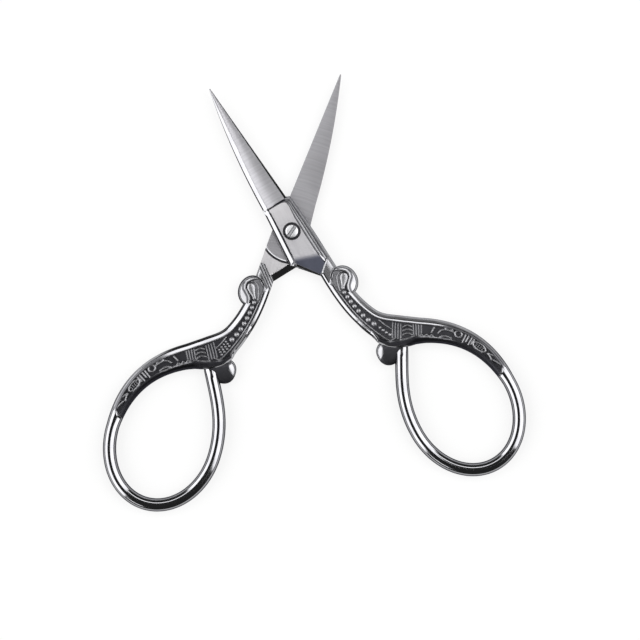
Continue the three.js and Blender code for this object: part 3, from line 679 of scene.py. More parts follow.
# Lines of each collar: where their upper ends begin and stop, then their lower ends, and both offsets.
COLLARS, COLLAR_LINES = [((-4.5, -2.2), (-3.8, -2.0), 1.8, -1.8), ((1.0, 2.9), (1.0, 2.9), 1.45, -1.15)], 4
WAVES, WAVE_FROM, WAVE_LONG, WAVE_TALL = (1.1, 0.15, -0.85), -1.55, 2.15, 0.4
WAVE_POINTS, OVAL_POINTS = 9, 25
TEETH, TEETH_FROM, TEETH_UNTIL, TEETH_LOW, TEETH_HIGH = 3, 2.3, 6.1, -1.4, -0.9
LEAVES = [
    [(5.4, -0.3), (5.7, 0.3), (6.0, 0.85)],
    [(7.1, -0.3), (7.6, 0.35), (8.3, 0.7), (9.0, 0.8), (10.8, 0.6)],
    [(7.5, -1.3), (8.2, -0.9), (9.0, -0.75), (10.5, -0.95)],
    [(20.4, 0.2), (22.2, 0.95)],
    [(20.4, 0.1), (22.0, -0.3)],
    [(22.5, -0.05), (25.2, 0.85)],
    [(22.5, 0.8), (25.2, 0.85)],
]
BARS, BAR_LEAN = [(13.5, -1.2, 1.2), (14.25, -0.5, 1.2), (15.1, -1.0, 1.1), (15.75, -0.5, 1.0)], 0.1
OVALS = [((9.45, 1.05), 0.85, 0.3), ((11.9, 0.5), 0.85, 0.75), ((17.8, 0.1), 1.75, 0.8)]
# Middle and half width of the round beads. A row of pearls on the outer face is a checker on the inner.
PEARLS = {
    "outer": [(-7.15 + 0.9 * i, -0.42 - 0.26 * i, 0.44) for i in range(4)],
    "inner": [(-7.4 + 0.82 * i, 0.3 - 0.68 * j - 0.23 * i, 0.35) for i in range(4) for j in range(3)],
}
LATTICE = [(16.9 + 0.6 * i, -0.1 + 0.42 * j, 0.22) for i in range(4) for j in range(2)]


def hump(off, half):
    """Round back: 1 less the square of distance over half width, and 0 beyond that."""
    return np.clip(1 - (off / half) ** 2, 0, 1)


def ridge(a, q, line, half, rise):
    """Round back of some half width and rise over a line of points, by the distance to its nearest part."""
    nearest = np.full(np.shape(a), np.inf)
    for (a0, q0), (a1, q1) in zip(line, line[1:]):
        run_a, run_q = a1 - a0, q1 - q0
        share = np.clip(((a - a0) * run_a + (q - q0) * run_q) / (run_a**2 + run_q**2), 0, 1)
        nearest = np.minimum(nearest, np.hypot(a - a0 - share * run_a, q - q0 - share * run_q))
    return rise * hump(nearest, half)


def oval(middle, long, wide):
    """A closed line of points round an oval."""
    t = np.linspace(0, 2 * math.pi, OVAL_POINTS)
    return list(zip(middle[0] + long * np.cos(t), middle[1] + wide * np.sin(t)))


def carved_lines():
    """Every drawn line of the carving, with its half width and its rise."""
    made = [(SECOND_RIM, FINE, RISE)]
    made += [(line, FINE, LOW_RISE) for line in FINE_LINES]
    for tops, feet, high, low in COLLARS:
        for top, foot in zip(np.linspace(*tops, COLLAR_LINES), np.linspace(*feet, COLLAR_LINES)):
            made.append(([(top, high), (foot, low)], FINE, COLLAR_RISE))
    t = np.linspace(0, 1, WAVE_POINTS)
    for height in WAVES:
        wave = zip(WAVE_FROM + WAVE_LONG * t, height + WAVE_TALL * np.sin(math.pi * t))
        made.append((list(wave), WAVE, RISE))
    at = np.linspace(TEETH_FROM, TEETH_UNTIL, 2 * TEETH + 1)
    zigzag = list(zip(at, np.where(np.arange(len(at)) % 2, TEETH_HIGH, TEETH_LOW)))
    made.append((zigzag, TOOTH, RISE))
    bars = [[(x, low), (x + BAR_LEAN, high)] for x, low, high in BARS]
    made += [(line, STOUT, RISE) for line in LEAVES + bars + [oval(*ring) for ring in OVALS]]
    return made


def ornament(a, q, face):
    """The highest ridge or bead over each point of the field; a bead is half a ball of some rise."""
    rises = [ridge(a, q, *line) for line in carved_lines()]
    for beads, rise in ((PEARLS[face], RISE), (LATTICE, LOW_RISE)):
        rises += [rise * np.sqrt(hump(np.hypot(a - x, q - y), half)) for x, y, half in beads]
    return np.max(rises, axis=0)


print("carved lines", len(carved_lines()))

# %% Width and edges of the shank
NECK_WIDE, SWING_WIDE, WIRE, WIRE_ROUND = 4.3, 6.6, 3.24, 2.2
SHANK_FLARE, ARM_FLARE = 1.25, 1.05
OUTER_SWELL, SWELL_BACK, SWELL_LONG = 0.7, 3.6, 7.0
# Pairs in these tables: how far along the route, and the value there.
INNER_SWELL = [(-12, 0), (-10, 0.14), (-8, 0.32), (-7, 0.65), (-6.3, 1.05), (-4.4, 1.2), (-3, 1.0),
               (-1.6, 0.7), (0, 0.35), (1.6, 0.12), (4, 0)]
INNER_CREST = [(-30, 1.0), (-7, 1.0), (-5, 1.05), (-3, 1.5), (-1, 1.75), (1.2, 1.75), (4, 1.55),
               (9, 1.3), (14, 1.15), (18, 1.25), (29, 1.3)]
EDGE_SHARE = [(-30, 1), (6, 1), (11, 0.85), (17, 0.72), (29, 0.72)]
# Bevel of the inner edge along the route, on each face: how wide, and its fall inside and at the edge.
INNER_BEVEL = {
    "outer": [(-26.8, 0), (-26, 1.0), (-8.5, 0.95), (-6.4, 0.4)],
    "inner": [(-26.8, 0), (-26, 1.0), (-14, 1.0), (-12, 0.62), (-8.5, 0.62), (-6.4, 0.4)],
}
BEVEL_FALL = {
    "outer": [(-8, 0.55), (-6.4, 1.03)],
    "inner": [(-14, 0.55), (-12, 0.88), (-8, 0.88), (-6.4, 1.03)],
}
CHAMFER_FALL = {"outer": [(-6.6, 0.87), (-5.9, 1.05)], "inner": [(-14, 0.87), (-12, 1.05)]}
EDGE_ROUND, EDGE_CHAMFER, ARM_FROM = 0.08, 0.52, (-2.0, 4.0)
# Profiles of the outer edge: how far in from the edge, and the height there.
EDGE_PROFILE = {
    "outer": [(0, 0), (0.03, 0.33), (0.08, 0.52), (0.14, 0.7), (0.26, 0.92), (0.42, 1.1), (0.66, 1.31),
              (0.9, 1.52), (1.05, 1.65), (1.13, 1.69), (1.42, 1.778), (1.48, 1.8)],
    "inner": [(0, 0), (0.03, 0.6), (0.08, 1.03), (0.6, 1.5), (0.66, 1.545), (1.42, 1.77), (1.48, 1.8)],
}
OUTER_CREST = 1.48


def along(table, a):
    """Value at each distance along the route, in straight lines between the pairs of a table."""
    at, value = zip(*table)
    return np.interp(a, at, value)


def width_at(a):
    """Shank: from neck to swing by a power of the share; arm: down to the wire by another."""
    shank = np.clip(1 + a / SHANK_LONG, 0, 1)
    arm = np.clip(a / ARM_LONG, 0, 1)
    return np.where(a < 0, NECK_WIDE + (SWING_WIDE - NECK_WIDE) * shank**SHANK_FLARE,
                    WIRE + (SWING_WIDE - WIRE) * (1 - arm) ** ARM_FLARE)


def outer_swell(a):
    """A hump of cosine squared on the outer side, where the shank swings into the arm."""
    return OUTER_SWELL * np.cos(np.clip(np.abs(a + SWELL_BACK) / SWELL_LONG, 0, 1) * math.pi / 2) ** 2


def quarter_round(share):
    """Rises from 0 to 1 like a quarter of a circle: the root of 1 less the square of what is left."""
    return np.sqrt(1 - (1 - np.clip(share, 0, 1)) ** 2)


def inner_edge(a, from_low, face):
    """Shank: a bevel with a steeper chamfer and a small round at its foot; arm: one quarter round."""
    wide, fall, edge_fall = [along(table[face], a) for table in (INNER_BEVEL, BEVEL_FALL, CHAMFER_FALL)]
    bevel = HALF_THICK - fall * np.clip(wide - from_low, 0, None)
    bevel = bevel - (edge_fall - fall) * np.clip(EDGE_CHAMFER - from_low, 0, None)
    steep = HALF_THICK * quarter_round(from_low / EDGE_ROUND)
    rounded = HALF_THICK * quarter_round(from_low / along(INNER_CREST, a))
    arm = past(a, *ARM_FROM)
    return np.minimum(bevel, steep) * (1 - arm) + rounded * arm


print("width at neck, swing and wire", width_at(np.array([-SHANK_LONG, 0, ARM_LONG])).round(2), "mm")

# %% Heights of a carved face
FLOOR, CREST_FLAT, CREST_FALL = 1.3, 0.05, 0.28
NECK_HIGH, NECK_BARREL, NECK_LEVEL, NECK_SUNK = 1.64, 0.4, 0.05, 1.0
NECK_LINES = [((1.0, -12.57), (4.05, -10.13)), ((1.82, -15.6), (4.52, -12.73))]
NECK_LINE_HALF, NECK_LINE_RISE = 0.22, 0.14
FORGED_FROM, FORGED_UNTIL, FORGED_SLANT = (-23.6, 1.6), 25.2, -0.62
SCROLL_MIDDLE, SCROLL_ACROSS, SCROLL_DOWN = np.array([5.05, -16.75]), 3.28, 3.85
# Where the scroll and the joint's panel lie over the face, and how low it goes there.
UNDER_SCROLL, SCROLL_SUNK, OPEN_LEFT, OPEN_BELOW = (1.0, -0.12), 0.9, (2.75, -0.5), (-19.2, -0.5)
UNDER_PANEL = (0.15, 0.15)


def face_points(a, q, x, y, low, high, face):
    """Places on one face and what follows from them: distance from both edges, offset from the middle as
    a share, and how far the skin is forged with the carving or has gone over to the wire."""
    return SimpleNamespace(
        a=a, q=q, x=x, y=y, face=face,
        from_low=q - low,
        from_high=(high - q) / along(EDGE_SHARE, a),
        off=(q - (low + high) / 2) / ((high - low) / 2),
        forged=past(a, *FORGED_FROM),
        wire=smooth(a - FORGED_UNTIL - FORGED_SLANT * q),
        inner_crest=along(INNER_CREST, a),
    )


def sink(height, level, share):
    """Lowers what stands above a level down to it, by a share."""
    return height - np.clip(height - level, 0, None) * share


def face_height(p):
    """Height of one face: a sunk field with its ridges between a bank along each edge, under the profiles
    of both edges. At one end is the plain neck, a barrel with two lines, and at the other the round wire.
    The face goes down where the scroll or the panel of the joint lies on it."""
    crests = ((p.from_low, p.inner_crest), (p.from_high, OUTER_CREST))
    banks = [1 - past(d, crest + CREST_FLAT, CREST_FALL) for d, crest in crests]
    carved = FLOOR + np.maximum((HALF_THICK - FLOOR) * np.maximum(*banks), ornament(p.a, p.q, p.face))
    neck_lines = [ridge(p.x, p.y, line, NECK_LINE_HALF, NECK_LINE_RISE) for line in NECK_LINES]
    neck = NECK_HIGH - NECK_BARREL * np.clip(p.off - NECK_LEVEL, 0, None) ** 2 + np.maximum(*neck_lines)
    top = np.minimum(neck * (1 - p.forged) + carved * p.forged, along(EDGE_PROFILE[p.face], p.from_high))
    top = np.minimum(top, inner_edge(p.a, p.from_low, p.face))
    wire = HALF_THICK * np.clip(1 - np.abs(p.off) ** WIRE_ROUND, 0, 1) ** (1 / WIRE_ROUND)
    height = top * (1 - p.wire) + wire * p.wire
    off = np.hypot((p.x - SCROLL_MIDDLE[0]) / SCROLL_ACROSS, (p.y - SCROLL_MIDDLE[1]) / SCROLL_DOWN)
    shown = np.maximum(past(p.x, *OPEN_LEFT), past(p.y, *OPEN_BELOW))
    height = sink(height, SCROLL_SUNK, past(off, *UNDER_SCROLL) * (1 - shown))
    return sink(height, NECK_SUNK, past(line_distance(p.x, p.y, *NECK_LINES[0]), *UNDER_PANEL))


print("field sunk by", round(HALF_THICK - FLOOR, 2), "mm")

# %% Painted shade and soft marks of a carved face
# Black marks are painted shade along the plain inner strip, the outer bank, the feet of the neck lines
# and the sides of the wire; in the field's floor they are the plating's black in the hollows and painted
# shade. How strong each mark is, and where it begins and over what length it grows, along the route or
# inward.
FIELD_DARK, FIELD_LOW, FIELD_IN = {"outer": 0.9, "inner": 0.95}, (1.52, -0.16), 0.9
PLAIN_BELOW = [(-6.5, -2.4), (-5, -2.8), (-4, -2.95), (-3, -2.4), (-2, -2.2), (1.2, -1.35), (4, -1.6),
               (9, -1.5), (11, -1.2), (14, -0.98), (18, -0.68), (22, -0.45), (26, -0.25)]
PLAIN_DARK, PLAIN_EASE, PLAIN_FROM, PLAIN_IN, PLAIN_ARM = 0.97, 0.2, (-7.0, 0.8), (0.38, 0.1), (-1.5, 1.5)
BANK_DARK, BANK_FROM, BANK_IN, BANK_UNTIL = 0.75, (6.5, 3.0), (0.6, 0.3), 1.8
EDGE_SOFT, EDGE_SOFT_UNTIL = 0.5, 1.08
RAIL_SOFT, RAIL_FROM, RAIL_UNTIL, RAIL_IN = 0.7, (-14.0, 2.0), (-5.0, -2.0), (0.64, 1.3)
NECK_SOFT, NECK_DARK, NECK_IN, NECK_OUT = 0.5, 0.85, 1.0, 0.9
EDGE_DARK, EDGE_DARK_FROM, WIRE_DARK_FROM = 0.85, (0.74, 0.2), (11.0, 14.0)


def face_marks(p, height):
    """Black, as painted shade: the field's floor, where it is also the plating's own black, the plain strip
    below it, the bank along the arm, the foot of the neck's lines and the sides of the wire. Soft: the
    field, the outer edge, a rail on the inner face, the neck."""
    not_wire, inside_neck = 1 - p.wire, (1 - p.forged) * (p.from_low > NECK_IN)
    field = p.forged * not_wire * (p.from_low > FIELD_IN * p.inner_crest) * (p.from_high > OUTER_CREST)
    deep = FIELD_DARK[p.face] * past(height, *FIELD_LOW) * field
    plain = past(p.q, along(PLAIN_BELOW, p.a), -PLAIN_EASE) * past(p.a, *PLAIN_FROM) * not_wire
    plain = PLAIN_DARK * plain * np.maximum(past(p.from_low, *PLAIN_IN), past(p.a, *PLAIN_ARM))
    bank = past(p.a, *BANK_FROM) * past(p.from_high, *BANK_IN) * (p.from_high < BANK_UNTIL)
    feet = [ridge(p.x, p.y, line, 2 * NECK_LINE_HALF, 2) * (ridge(p.x, p.y, line, NECK_LINE_HALF, 1) == 0)
            for line in NECK_LINES]
    feet = np.minimum(1, np.maximum(*feet)) * inside_neck * (p.from_high > NECK_OUT)
    wire_side = past(p.a, *WIRE_DARK_FROM) * past(np.abs(p.off), *EDGE_DARK_FROM)
    black = [deep, plain, BANK_DARK * bank * not_wire, NECK_DARK * feet, EDGE_DARK * wire_side]
    edge = EDGE_SOFT * (p.from_high < EDGE_SOFT_UNTIL) * not_wire * (p.face == "outer")
    rail = RAIL_SOFT * past(p.a, *RAIL_FROM) * past(p.a, *RAIL_UNTIL) * (p.face == "inner")
    rail = rail * (p.from_low > RAIL_IN[0]) * (p.from_low < RAIL_IN[1])
    return np.max(black, axis=0), np.max([field, edge, rail, NECK_SOFT * inside_neck], axis=0)


print("black in the field of each face", FIELD_DARK)

# %% The shank as one sweep
SHANK_STATIONS, LOW_COLUMNS, FIELD_COLUMNS = 616, 15, 46
LOW_BAND_MOST, FIELD_LEAST = 1.2, 0.3
EDGE_COLUMNS = [0, 0.03, 0.08, 0.14, 0.26, 0.42, 0.6, 0.66, 0.78, 0.9, 1.05, 1.13, 1.25, 1.42, 1.48,
                1.55, 1.62, 1.69, 1.76, 1.83]
HEEL_GAP, STEPS_DOWN, STEP_WIDE, STEP_APART, INNER_PLAY = 1.2, 3, 0.3, 0.6, 0.02
STRIPE_DARK, STRIPE_OFF, STRIPE_HALF = 0.9, 0.12, 0.2
STEPS_SOFT, STEPS_MIDDLE, STEPS_HALF = 0.9, 0.7, 1.0


def across_path(middle, way, across):
    """Places beside a path: its points plus the normal on the left times an offset."""
    return middle[:, :1] - way[:, 1:] * across, middle[:, 1:] + way[:, :1] * across


def ring_of(under, over):
    """One ring from two faces: across the under face and back over the upper, with both edges shared."""
    return np.concatenate([under, over[:, -2:0:-1]], axis=1)


def shank_surface():
    """Stations along shank and arm. Each ring crosses the inner face to the outer edge and comes back over
    the outer face. The inner face is cut away above the step that clears the other half's heel."""
    a = np.linspace(-SHANK_LONG, ARM_LONG, SHANK_STATIONS)[:, None]
    middle, way = follow(carved_path, a[:, 0] + SHANK_LONG)
    high = width_at(a) / 2 + outer_swell(a)
    low = -width_at(a) / 2 - along(INNER_SWELL, a)
    low_band = np.minimum(along(INNER_CREST, a), LOW_BAND_MOST) + CREST_FLAT + CREST_FALL
    high_band = along(EDGE_SHARE, a) * np.array(EDGE_COLUMNS)[None, ::-1]
    squeeze = np.minimum(1, (high - low) / (low_band + high_band[:, :1] + FIELD_LEAST))
    low_band, high_band = low_band * squeeze, high_band * squeeze
    rise = 1 - np.cos(np.linspace(0, math.pi / 2, LOW_COLUMNS))[None, :]
    field = np.linspace(0, 1, FIELD_COLUMNS + 2)[None, 1:-1]
    first, last = low + low_band, high - high_band[:, :1]
    q = np.concatenate([low + low_band * rise, first + (last - first) * field, high - high_band], axis=1)
    x, y = across_path(middle, way, q)
    faces = [face_points(a + 0 * q, q, x, y, low, high, face) for face in ("inner", "outer")]
    inner, outer = [face_height(p) for p in faces]
    inner_black_and_shade, inner_soft = face_marks(faces[0], inner)
    outer_black_and_shade, outer_soft = face_marks(faces[1], outer)
    beyond = -line_distance(x, y, (-NECK_LEFT[0], NECK_LEFT[1]), (-HEEL[0], HEEL[1])) - HEEL_GAP
    steps = [beyond - k * STEP_APART for k in range(STEPS_DOWN)]
    kept = np.mean([smooth(step / STEP_WIDE) for step in steps], axis=0)
    # Painted shade: dark stripes along the steps of the inner face.
    stripe = np.max([hump(step - STRIPE_OFF, STRIPE_HALF) for step in steps], axis=0)
    inner_black_and_shade = np.maximum(inner_black_and_shade * kept, STRIPE_DARK * stripe)
    inner_soft = np.maximum(inner_soft, STEPS_SOFT * (np.abs(beyond - STEPS_MIDDLE) < STEPS_HALF))
    under = np.minimum((INNER + INNER_PLAY) * (1 - kept) - inner * kept, outer)
    grid = np.stack([ring_of(x, x), ring_of(y, y), ring_of(under, outer)], axis=-1)
    return surface(grid, recess=ring_of(inner_black_and_shade, outer_black_and_shade), blend=ring_of(inner_soft, outer_soft))


for half in HALVES:
    make_of_half(half, "shank", [shank_surface()])

# %% [markdown]
# ## Scroll, drop, beads and stop
# Where the neck meets the shank a round scroll swells out of the edge, with a rim, a groove and a ring
# about a drop. A row of beads runs from the drop down the field, and a rounded stop under the swing keeps
# the bows apart when the scissors close. The scroll is an oval disc with a rim line across it: outside the
# line a band falls to the edge, and inside lies a sunk floor. Drop, beads and stop are closed shells.

# %% Scroll
SCROLL_RIM = [(4.45, -13.3), (5.2, -13.65), (6.02, -14.18), (6.75, -15.0), (6.95, -15.8), (6.75, -16.6),
              (5.95, -17.35), (5.3, -18.0), (4.85, -18.9), (4.7, -19.9), (4.66, -20.97)]
DROP_LINE = [(5.6, -14.6), (5.0, -14.4), (4.2, -14.8), (3.75, -15.4), (3.4, -16.3), (3.1, -17.3),
             (2.9, -18.4)]
DROP_AXIS = ((3.6, -18.6), (5.9, -15.0))
SCROLL_TOP, SCROLL_FLOOR, SCROLL_ROUND = HALF_THICK - 0.02, 1.34, 0.6
RIM_FLAT, RIM_FALL, RIM_BEVEL = 0.08, 0.26, 0.3
DROP_RIDGE, NECK_RIDGE = (0.24, 0.34), (0.32, 0.42)
SCROLL_EVEN, SCROLL_EVEN_RINGS, SCROLL_CLOSE_RINGS, SCROLL_AROUND = 0.7, 44, 26, 192
# The smallest ring about a pole, as a share or an angle.
POLE = 0.02
CUT_LEFT, CUT_BELOW, CUT_LEVEL = (2.6, -0.5), (-19.0, -0.5), 1.2
# Marks: how strong, and where each begins and over what length it grows. The black marks are painted
# shade, lighter on one side of the drop: the floor, a line on the band at the lower right and both edges.
FLOOR_DARK, FLOOR_LIT, FLOOR_LIT_FROM, FLOOR_LOW = 0.92, 0.5, (0.0, 0.9), (1.58, -0.18)
LINE_DARK, LINE_OFF, LINE_HALF = 0.8, 0.48, 0.36
LINE_RIGHT, LINE_BELOW, LINE_UNDER = (5.7, 0.6), (-16.2, -0.5), (-14.5, -0.8)
INNER_EDGE_DARK, INNER_EDGE_FROM, OUTER_EDGE_FROM = 0.92, (0.45, -0.2), (0.3, -0.25)
FLOOR_SOFT, BAND_SOFT = 1.0, 0.3


def ring_angles(count):
    """Even angles once round, as one row."""
    return np.linspace(0, 2 * math.pi, count, endpoint=False)[None, :]


def beside(x, y, path):
    """Distance to a bent line, and whether the point lies on the right of its nearest piece."""
    nearest, right = np.full(x.shape, np.inf), np.zeros(x.shape, bool)
    for a, b in zip(path, path[1:]):
        run = np.array(b) - np.array(a)
        share = np.clip(((x - a[0]) * run[0] + (y - a[1]) * run[1]) / (run @ run), 0, 1)
        apart = np.hypot(x - a[0] - share * run[0], y - a[1] - share * run[1])
        right = np.where(apart < nearest, line_distance(x, y, a, b) < 0, right)
        nearest = np.minimum(nearest, apart)
    return nearest, right


def both_faces(under, over):
    """Rings of the under face from the middle out, then of the upper face from the edge to the middle."""
    return np.concatenate([under, over[-2::-1]])


def scroll_surface():
    """Rings of an oval disc from the middle of its inner face over the edge to the middle of its outer
    face. Outside the rim line the band falls to the edge in a quarter round; inside lies a sunk floor."""
    close = 1 - (1 - SCROLL_EVEN) * np.cos(np.linspace(0.05, math.pi / 2, SCROLL_CLOSE_RINGS))
    share = np.concatenate([np.linspace(POLE, SCROLL_EVEN, SCROLL_EVEN_RINGS), close])[:, None]
    angle = ring_angles(SCROLL_AROUND)
    x = SCROLL_MIDDLE[0] + SCROLL_ACROSS * share * np.cos(angle)
    y = SCROLL_MIDDLE[1] + SCROLL_DOWN * share * np.sin(angle)
    from_edge = (1 - share) * (SCROLL_ACROSS + SCROLL_DOWN) / 2 + 0 * angle
    from_rim, inside = beside(x, y, SCROLL_RIM)
    band = 1 - from_edge / (from_edge + from_rim + 1e-6)
    outside_high = np.minimum(SCROLL_TOP * np.sqrt(1 - band**2), SCROLL_TOP - RIM_BEVEL * from_rim)
    bank = (SCROLL_TOP - SCROLL_FLOOR) * (1 - past(from_rim, RIM_FLAT, RIM_FALL))
    neck_line = ridge(x, y, NECK_LINES[1], *NECK_RIDGE)
    risen = np.max([bank, ridge(x, y, DROP_LINE, *DROP_RIDGE), neck_line], axis=0)
    edge_high = HALF_THICK * quarter_round(from_edge / SCROLL_ROUND)
    height = np.where(inside, np.minimum(SCROLL_FLOOR + risen, edge_high), outside_high)
    opened = past(x, *CUT_LEFT) + past(y, *CUT_BELOW) * inside
    height = sink(height, CUT_LEVEL, np.clip(opened, 0, 1))
    # Painted light and shade: the low floor goes black, less so on one side of the drop's axis, a dark line
    # runs on the band at the lower right, and both edges go dark.
    shade = FLOOR_DARK - FLOOR_LIT * past(line_distance(x, y, *DROP_AXIS), *FLOOR_LIT_FROM)
    lower_right = np.maximum(past(x, *LINE_RIGHT), past(y, *LINE_BELOW)) * past(y, *LINE_UNDER)
    line = LINE_DARK * lower_right * hump(from_rim - LINE_OFF, LINE_HALF)
    deep = np.where(inside, shade * past(height, *FLOOR_LOW), line)
    inner_black_and_shade = np.maximum(deep, INNER_EDGE_DARK * past(from_edge, *INNER_EDGE_FROM))
    outer_black_and_shade = np.maximum(deep, EDGE_DARK * past(from_edge, *OUTER_EDGE_FROM))
    soft = np.where(inside & (neck_line == 0), FLOOR_SOFT, BAND_SOFT)
    lower, upper = [np.stack([x, y, side * height], axis=-1) for side in (-1, 1)]
    grid, black = both_faces(lower, upper), both_faces(inner_black_and_shade, outer_black_and_shade)
    return surface(grid, recess=black, blend=both_faces(soft, soft))


for half in HALVES:
    make_of_half(half, "scroll", [scroll_surface()])

# %% Drop
DROP_PATH = np.array([(5.9, -15.0), (5.45, -15.9), (4.9, -16.75), (4.2, -17.65), (3.6, -18.6)])
DROP_WIDE, DROP_TOP, DROP_TALL, DROP_FLAT, DROP_SOFT = 1.1, 1.72, 0.6, 2.4, 0.75
DROP_HEAD, DROP_TAIL, DROP_TAPER, DROP_TAPER_LONG, DROP_FULL = 0.26, 0.1, 0.55, 0.6, 0.5
DROP_RINGS, DROP_AROUND, DROP_CLOSE = 48, 36, 200


def drawn_out(count, power):
    """Cosine and sine once round, drawn out by a power: 2 gives an oval, and more gives it corners."""
    angle = ring_angles(count)
    return [np.sign(f(angle)) * np.abs(f(angle)) ** (2 / power) for f in (np.cos, np.sin)]


def drop_surface(side):
    """Flat rings carried along the drop's bent middle line: wide at the head, fine at the tail."""
    t = np.linspace(0, 1, DROP_RINGS)
    even, close = [np.linspace(0, 1, count) for count in (len(DROP_PATH), DROP_CLOSE)]
    path = np.stack([np.interp(close, even, DROP_PATH[:, k]) for k in (0, 1)], axis=-1)
    middle, way = follow(path, t * length_of(path))
    ends = quarter_round(t / DROP_HEAD) * quarter_round((1 - t) / DROP_TAIL)
    wide = DROP_WIDE * ends * (1 - DROP_TAPER * past(t, DROP_HEAD, DROP_TAPER_LONG)) + HAIR
    tall = DROP_TALL * np.minimum(1, wide / DROP_WIDE / DROP_FULL) + HAIR
    across, rise = drawn_out(DROP_AROUND, DROP_FLAT)
    x, y = across_path(middle, way, wide[:, None] * across)
    z = DROP_TOP - DROP_TALL + tall[:, None] * rise
    grid = np.stack([x, y, side * z], axis=-1)
    return surface(grid if side > 0 else grid[:, ::-1], blend=DROP_SOFT)


print("drop", round(length_of(DROP_PATH), 2), "mm long")

# %% Beads
BEADS, BEAD_FIRST, BEAD_LAST, BEAD_TOP = 8, 1.28, 1.58, 1.76
BEAD_FROM, BEAD_APART, BEAD_SPREAD = -19.33, 1.29, 0.03
BEAD_ASIDE, BEAD_DRIFT, BEAD_LEAST = 0.22, -0.09, -0.3
BEAD_RINGS, BEAD_AROUND = 16, 24


def bead_surface(middle, height, wide):
    """A closed ball: circles by angle, stacked from pole to pole."""
    rise = np.linspace(-math.pi / 2 + POLE, math.pi / 2 - POLE, BEAD_RINGS)[:, None]
    angle = ring_angles(BEAD_AROUND)
    x = middle[0] + wide / 2 * np.cos(rise) * np.cos(angle)
    y = middle[1] + wide / 2 * np.cos(rise) * np.sin(angle)
    z = height + wide / 2 * np.sin(rise) + 0 * angle
    return surface(np.stack([x, y, z], axis=-1), blend=1)


def bead_surfaces():
    """Eight round beads in the field of each face; they stand further apart and grow toward the swing."""
    count = np.arange(BEADS)
    at = BEAD_FROM + BEAD_APART * count + BEAD_SPREAD * count**2
    aside = np.clip(BEAD_ASIDE + BEAD_DRIFT * count, BEAD_LEAST, None)
    middle, way = follow(carved_path, at + SHANK_LONG)
    wide = BEAD_FIRST + (BEAD_LAST - BEAD_FIRST) * count / (BEADS - 1)
    places = np.hstack(across_path(middle, way, aside[:, None]))
    return [bead_surface(places[k], side * (BEAD_TOP - wide[k] / 2), wide[k])
            for side in (1, -1) for k in range(BEADS)]


print("beads on each face", BEADS)

# %% Stop
STOP_MIDDLE, STOP_WIDE, STOP_SOFT = np.array([5.9, -37.29]), 6.3, 0.4
STOP_RIDGE = np.array([(4.9, -35.9), (9.0, -37.5)])
STOP_HIGH, STOP_FLAT, STOP_ROUND, STOP_SQUARE = 1.5, 1.3, 2.2, 2.3
STOP_EDGE_FROM, STOP_RINGS, STOP_AROUND = (0.82, 0.15), 40, 120
# The stop's shaded side starts at a line with a bend: the bend, and the line's lean over and under it.
SHADE_BEND, SHADE_LEAN_OVER, SHADE_LEAN_UNDER = np.array([4.34, -36.84]), 0.3, 1.5
STOP_SHADE, STOP_SHADE_LONG = 0.92, 0.3


def stop_surface():
    """Ovals that shrink from the outline to a ridge beside the shank, each point to its nearest on the
    ridge, so that one side faces the centre line and the other the finger bow."""
    share = np.sin(np.linspace(POLE / 2, math.pi / 2, STOP_RINGS))[:, None]
    rim = STOP_MIDDLE + STOP_WIDE / 2 * np.stack(drawn_out(STOP_AROUND, STOP_SQUARE), axis=-1)
    run = STOP_RIDGE[1] - STOP_RIDGE[0]
    near = np.clip((rim - STOP_RIDGE[0]) @ run / (run @ run), 0, 1)
    top = STOP_RIDGE[0] + near[..., None] * run
    plan = top + (rim - top) * share[..., None]
    x, over = plan[..., 0], plan[..., 1] - SHADE_BEND[1]
    z = STOP_HIGH * (1 - share**STOP_FLAT) ** (1 / STOP_ROUND) + 0 * x
    lower, upper = [np.concatenate([plan, side * z[..., None]], axis=-1) for side in (-1, 1)]
    shaded_from = SHADE_BEND[0] + np.where(over > 0, SHADE_LEAN_OVER, SHADE_LEAN_UNDER) * over
    shade = STOP_SHADE * past(x, shaded_from, STOP_SHADE_LONG)
    # Painted shade: the edge of the stop goes dark, and so does its shaded side.
    dark = np.maximum(EDGE_DARK * past(share, *STOP_EDGE_FROM), shade)
    return surface(both_faces(lower, upper), recess=both_faces(dark, dark), blend=STOP_SOFT)


for half in HALVES:
    make_of_half(half, "drops", [drop_surface(1), drop_surface(-1)])
    make_of_half(half, "beads", bead_surfaces())
    make_of_half(half, "stop", [stop_surface()])

# %% [markdown]
# ## Bow
# The finger bow is a drawn-down wire, a little taller than wide and slightly flat on its faces. One rounded
# section carried round the route gives it, and the strand thins at its end, where it goes in under the
# edge of the shank.

# %% Bow wire
STRAND_KEPT, STRAND_THIN, STRAND_THIN_FROM, STRAND_THIN_LONG = 1.5, 0.3, 4.0, 3.5
BOW_RINGS, BOW_AROUND = 520, 56


def bow_surface():
    """A rounded section, cosine and sine drawn out by a power, at even steps round the bow and strand."""
    reach = length_of(np.concatenate([lower_bow, strand_path[1:]])) + STRAND_KEPT
    s = np.linspace(0, reach, BOW_RINGS)
    middle, way = follow(wire_path, s)
    tall = 1 - STRAND_THIN * past(s, reach - STRAND_THIN_FROM, STRAND_THIN_LONG)
    across, rise = drawn_out(BOW_AROUND, WIRE_ROUND)
    x, y = across_path(middle, way, WIRE / 2 * across)
    z = HALF_THICK * rise * tall[:, None]
    # Painted shade: the sides of the wire go dark.
    return surface(np.stack([x, y, z], axis=-1), recess=EDGE_DARK * past(np.abs(across), *EDGE_DARK_FROM))


for half in HALVES:
    make_of_half(half, "bow", [bow_surface()])

# %% [markdown]
# ## Screw
# A slotted screw with a low domed head sits in its seat in the front half and threads into the back half.
# It is turned on a lathe, so its surface is a profile spun round the axis. The slot is sunk into the grid:
# every point within half its width of the slot's line drops to the slot's floor.

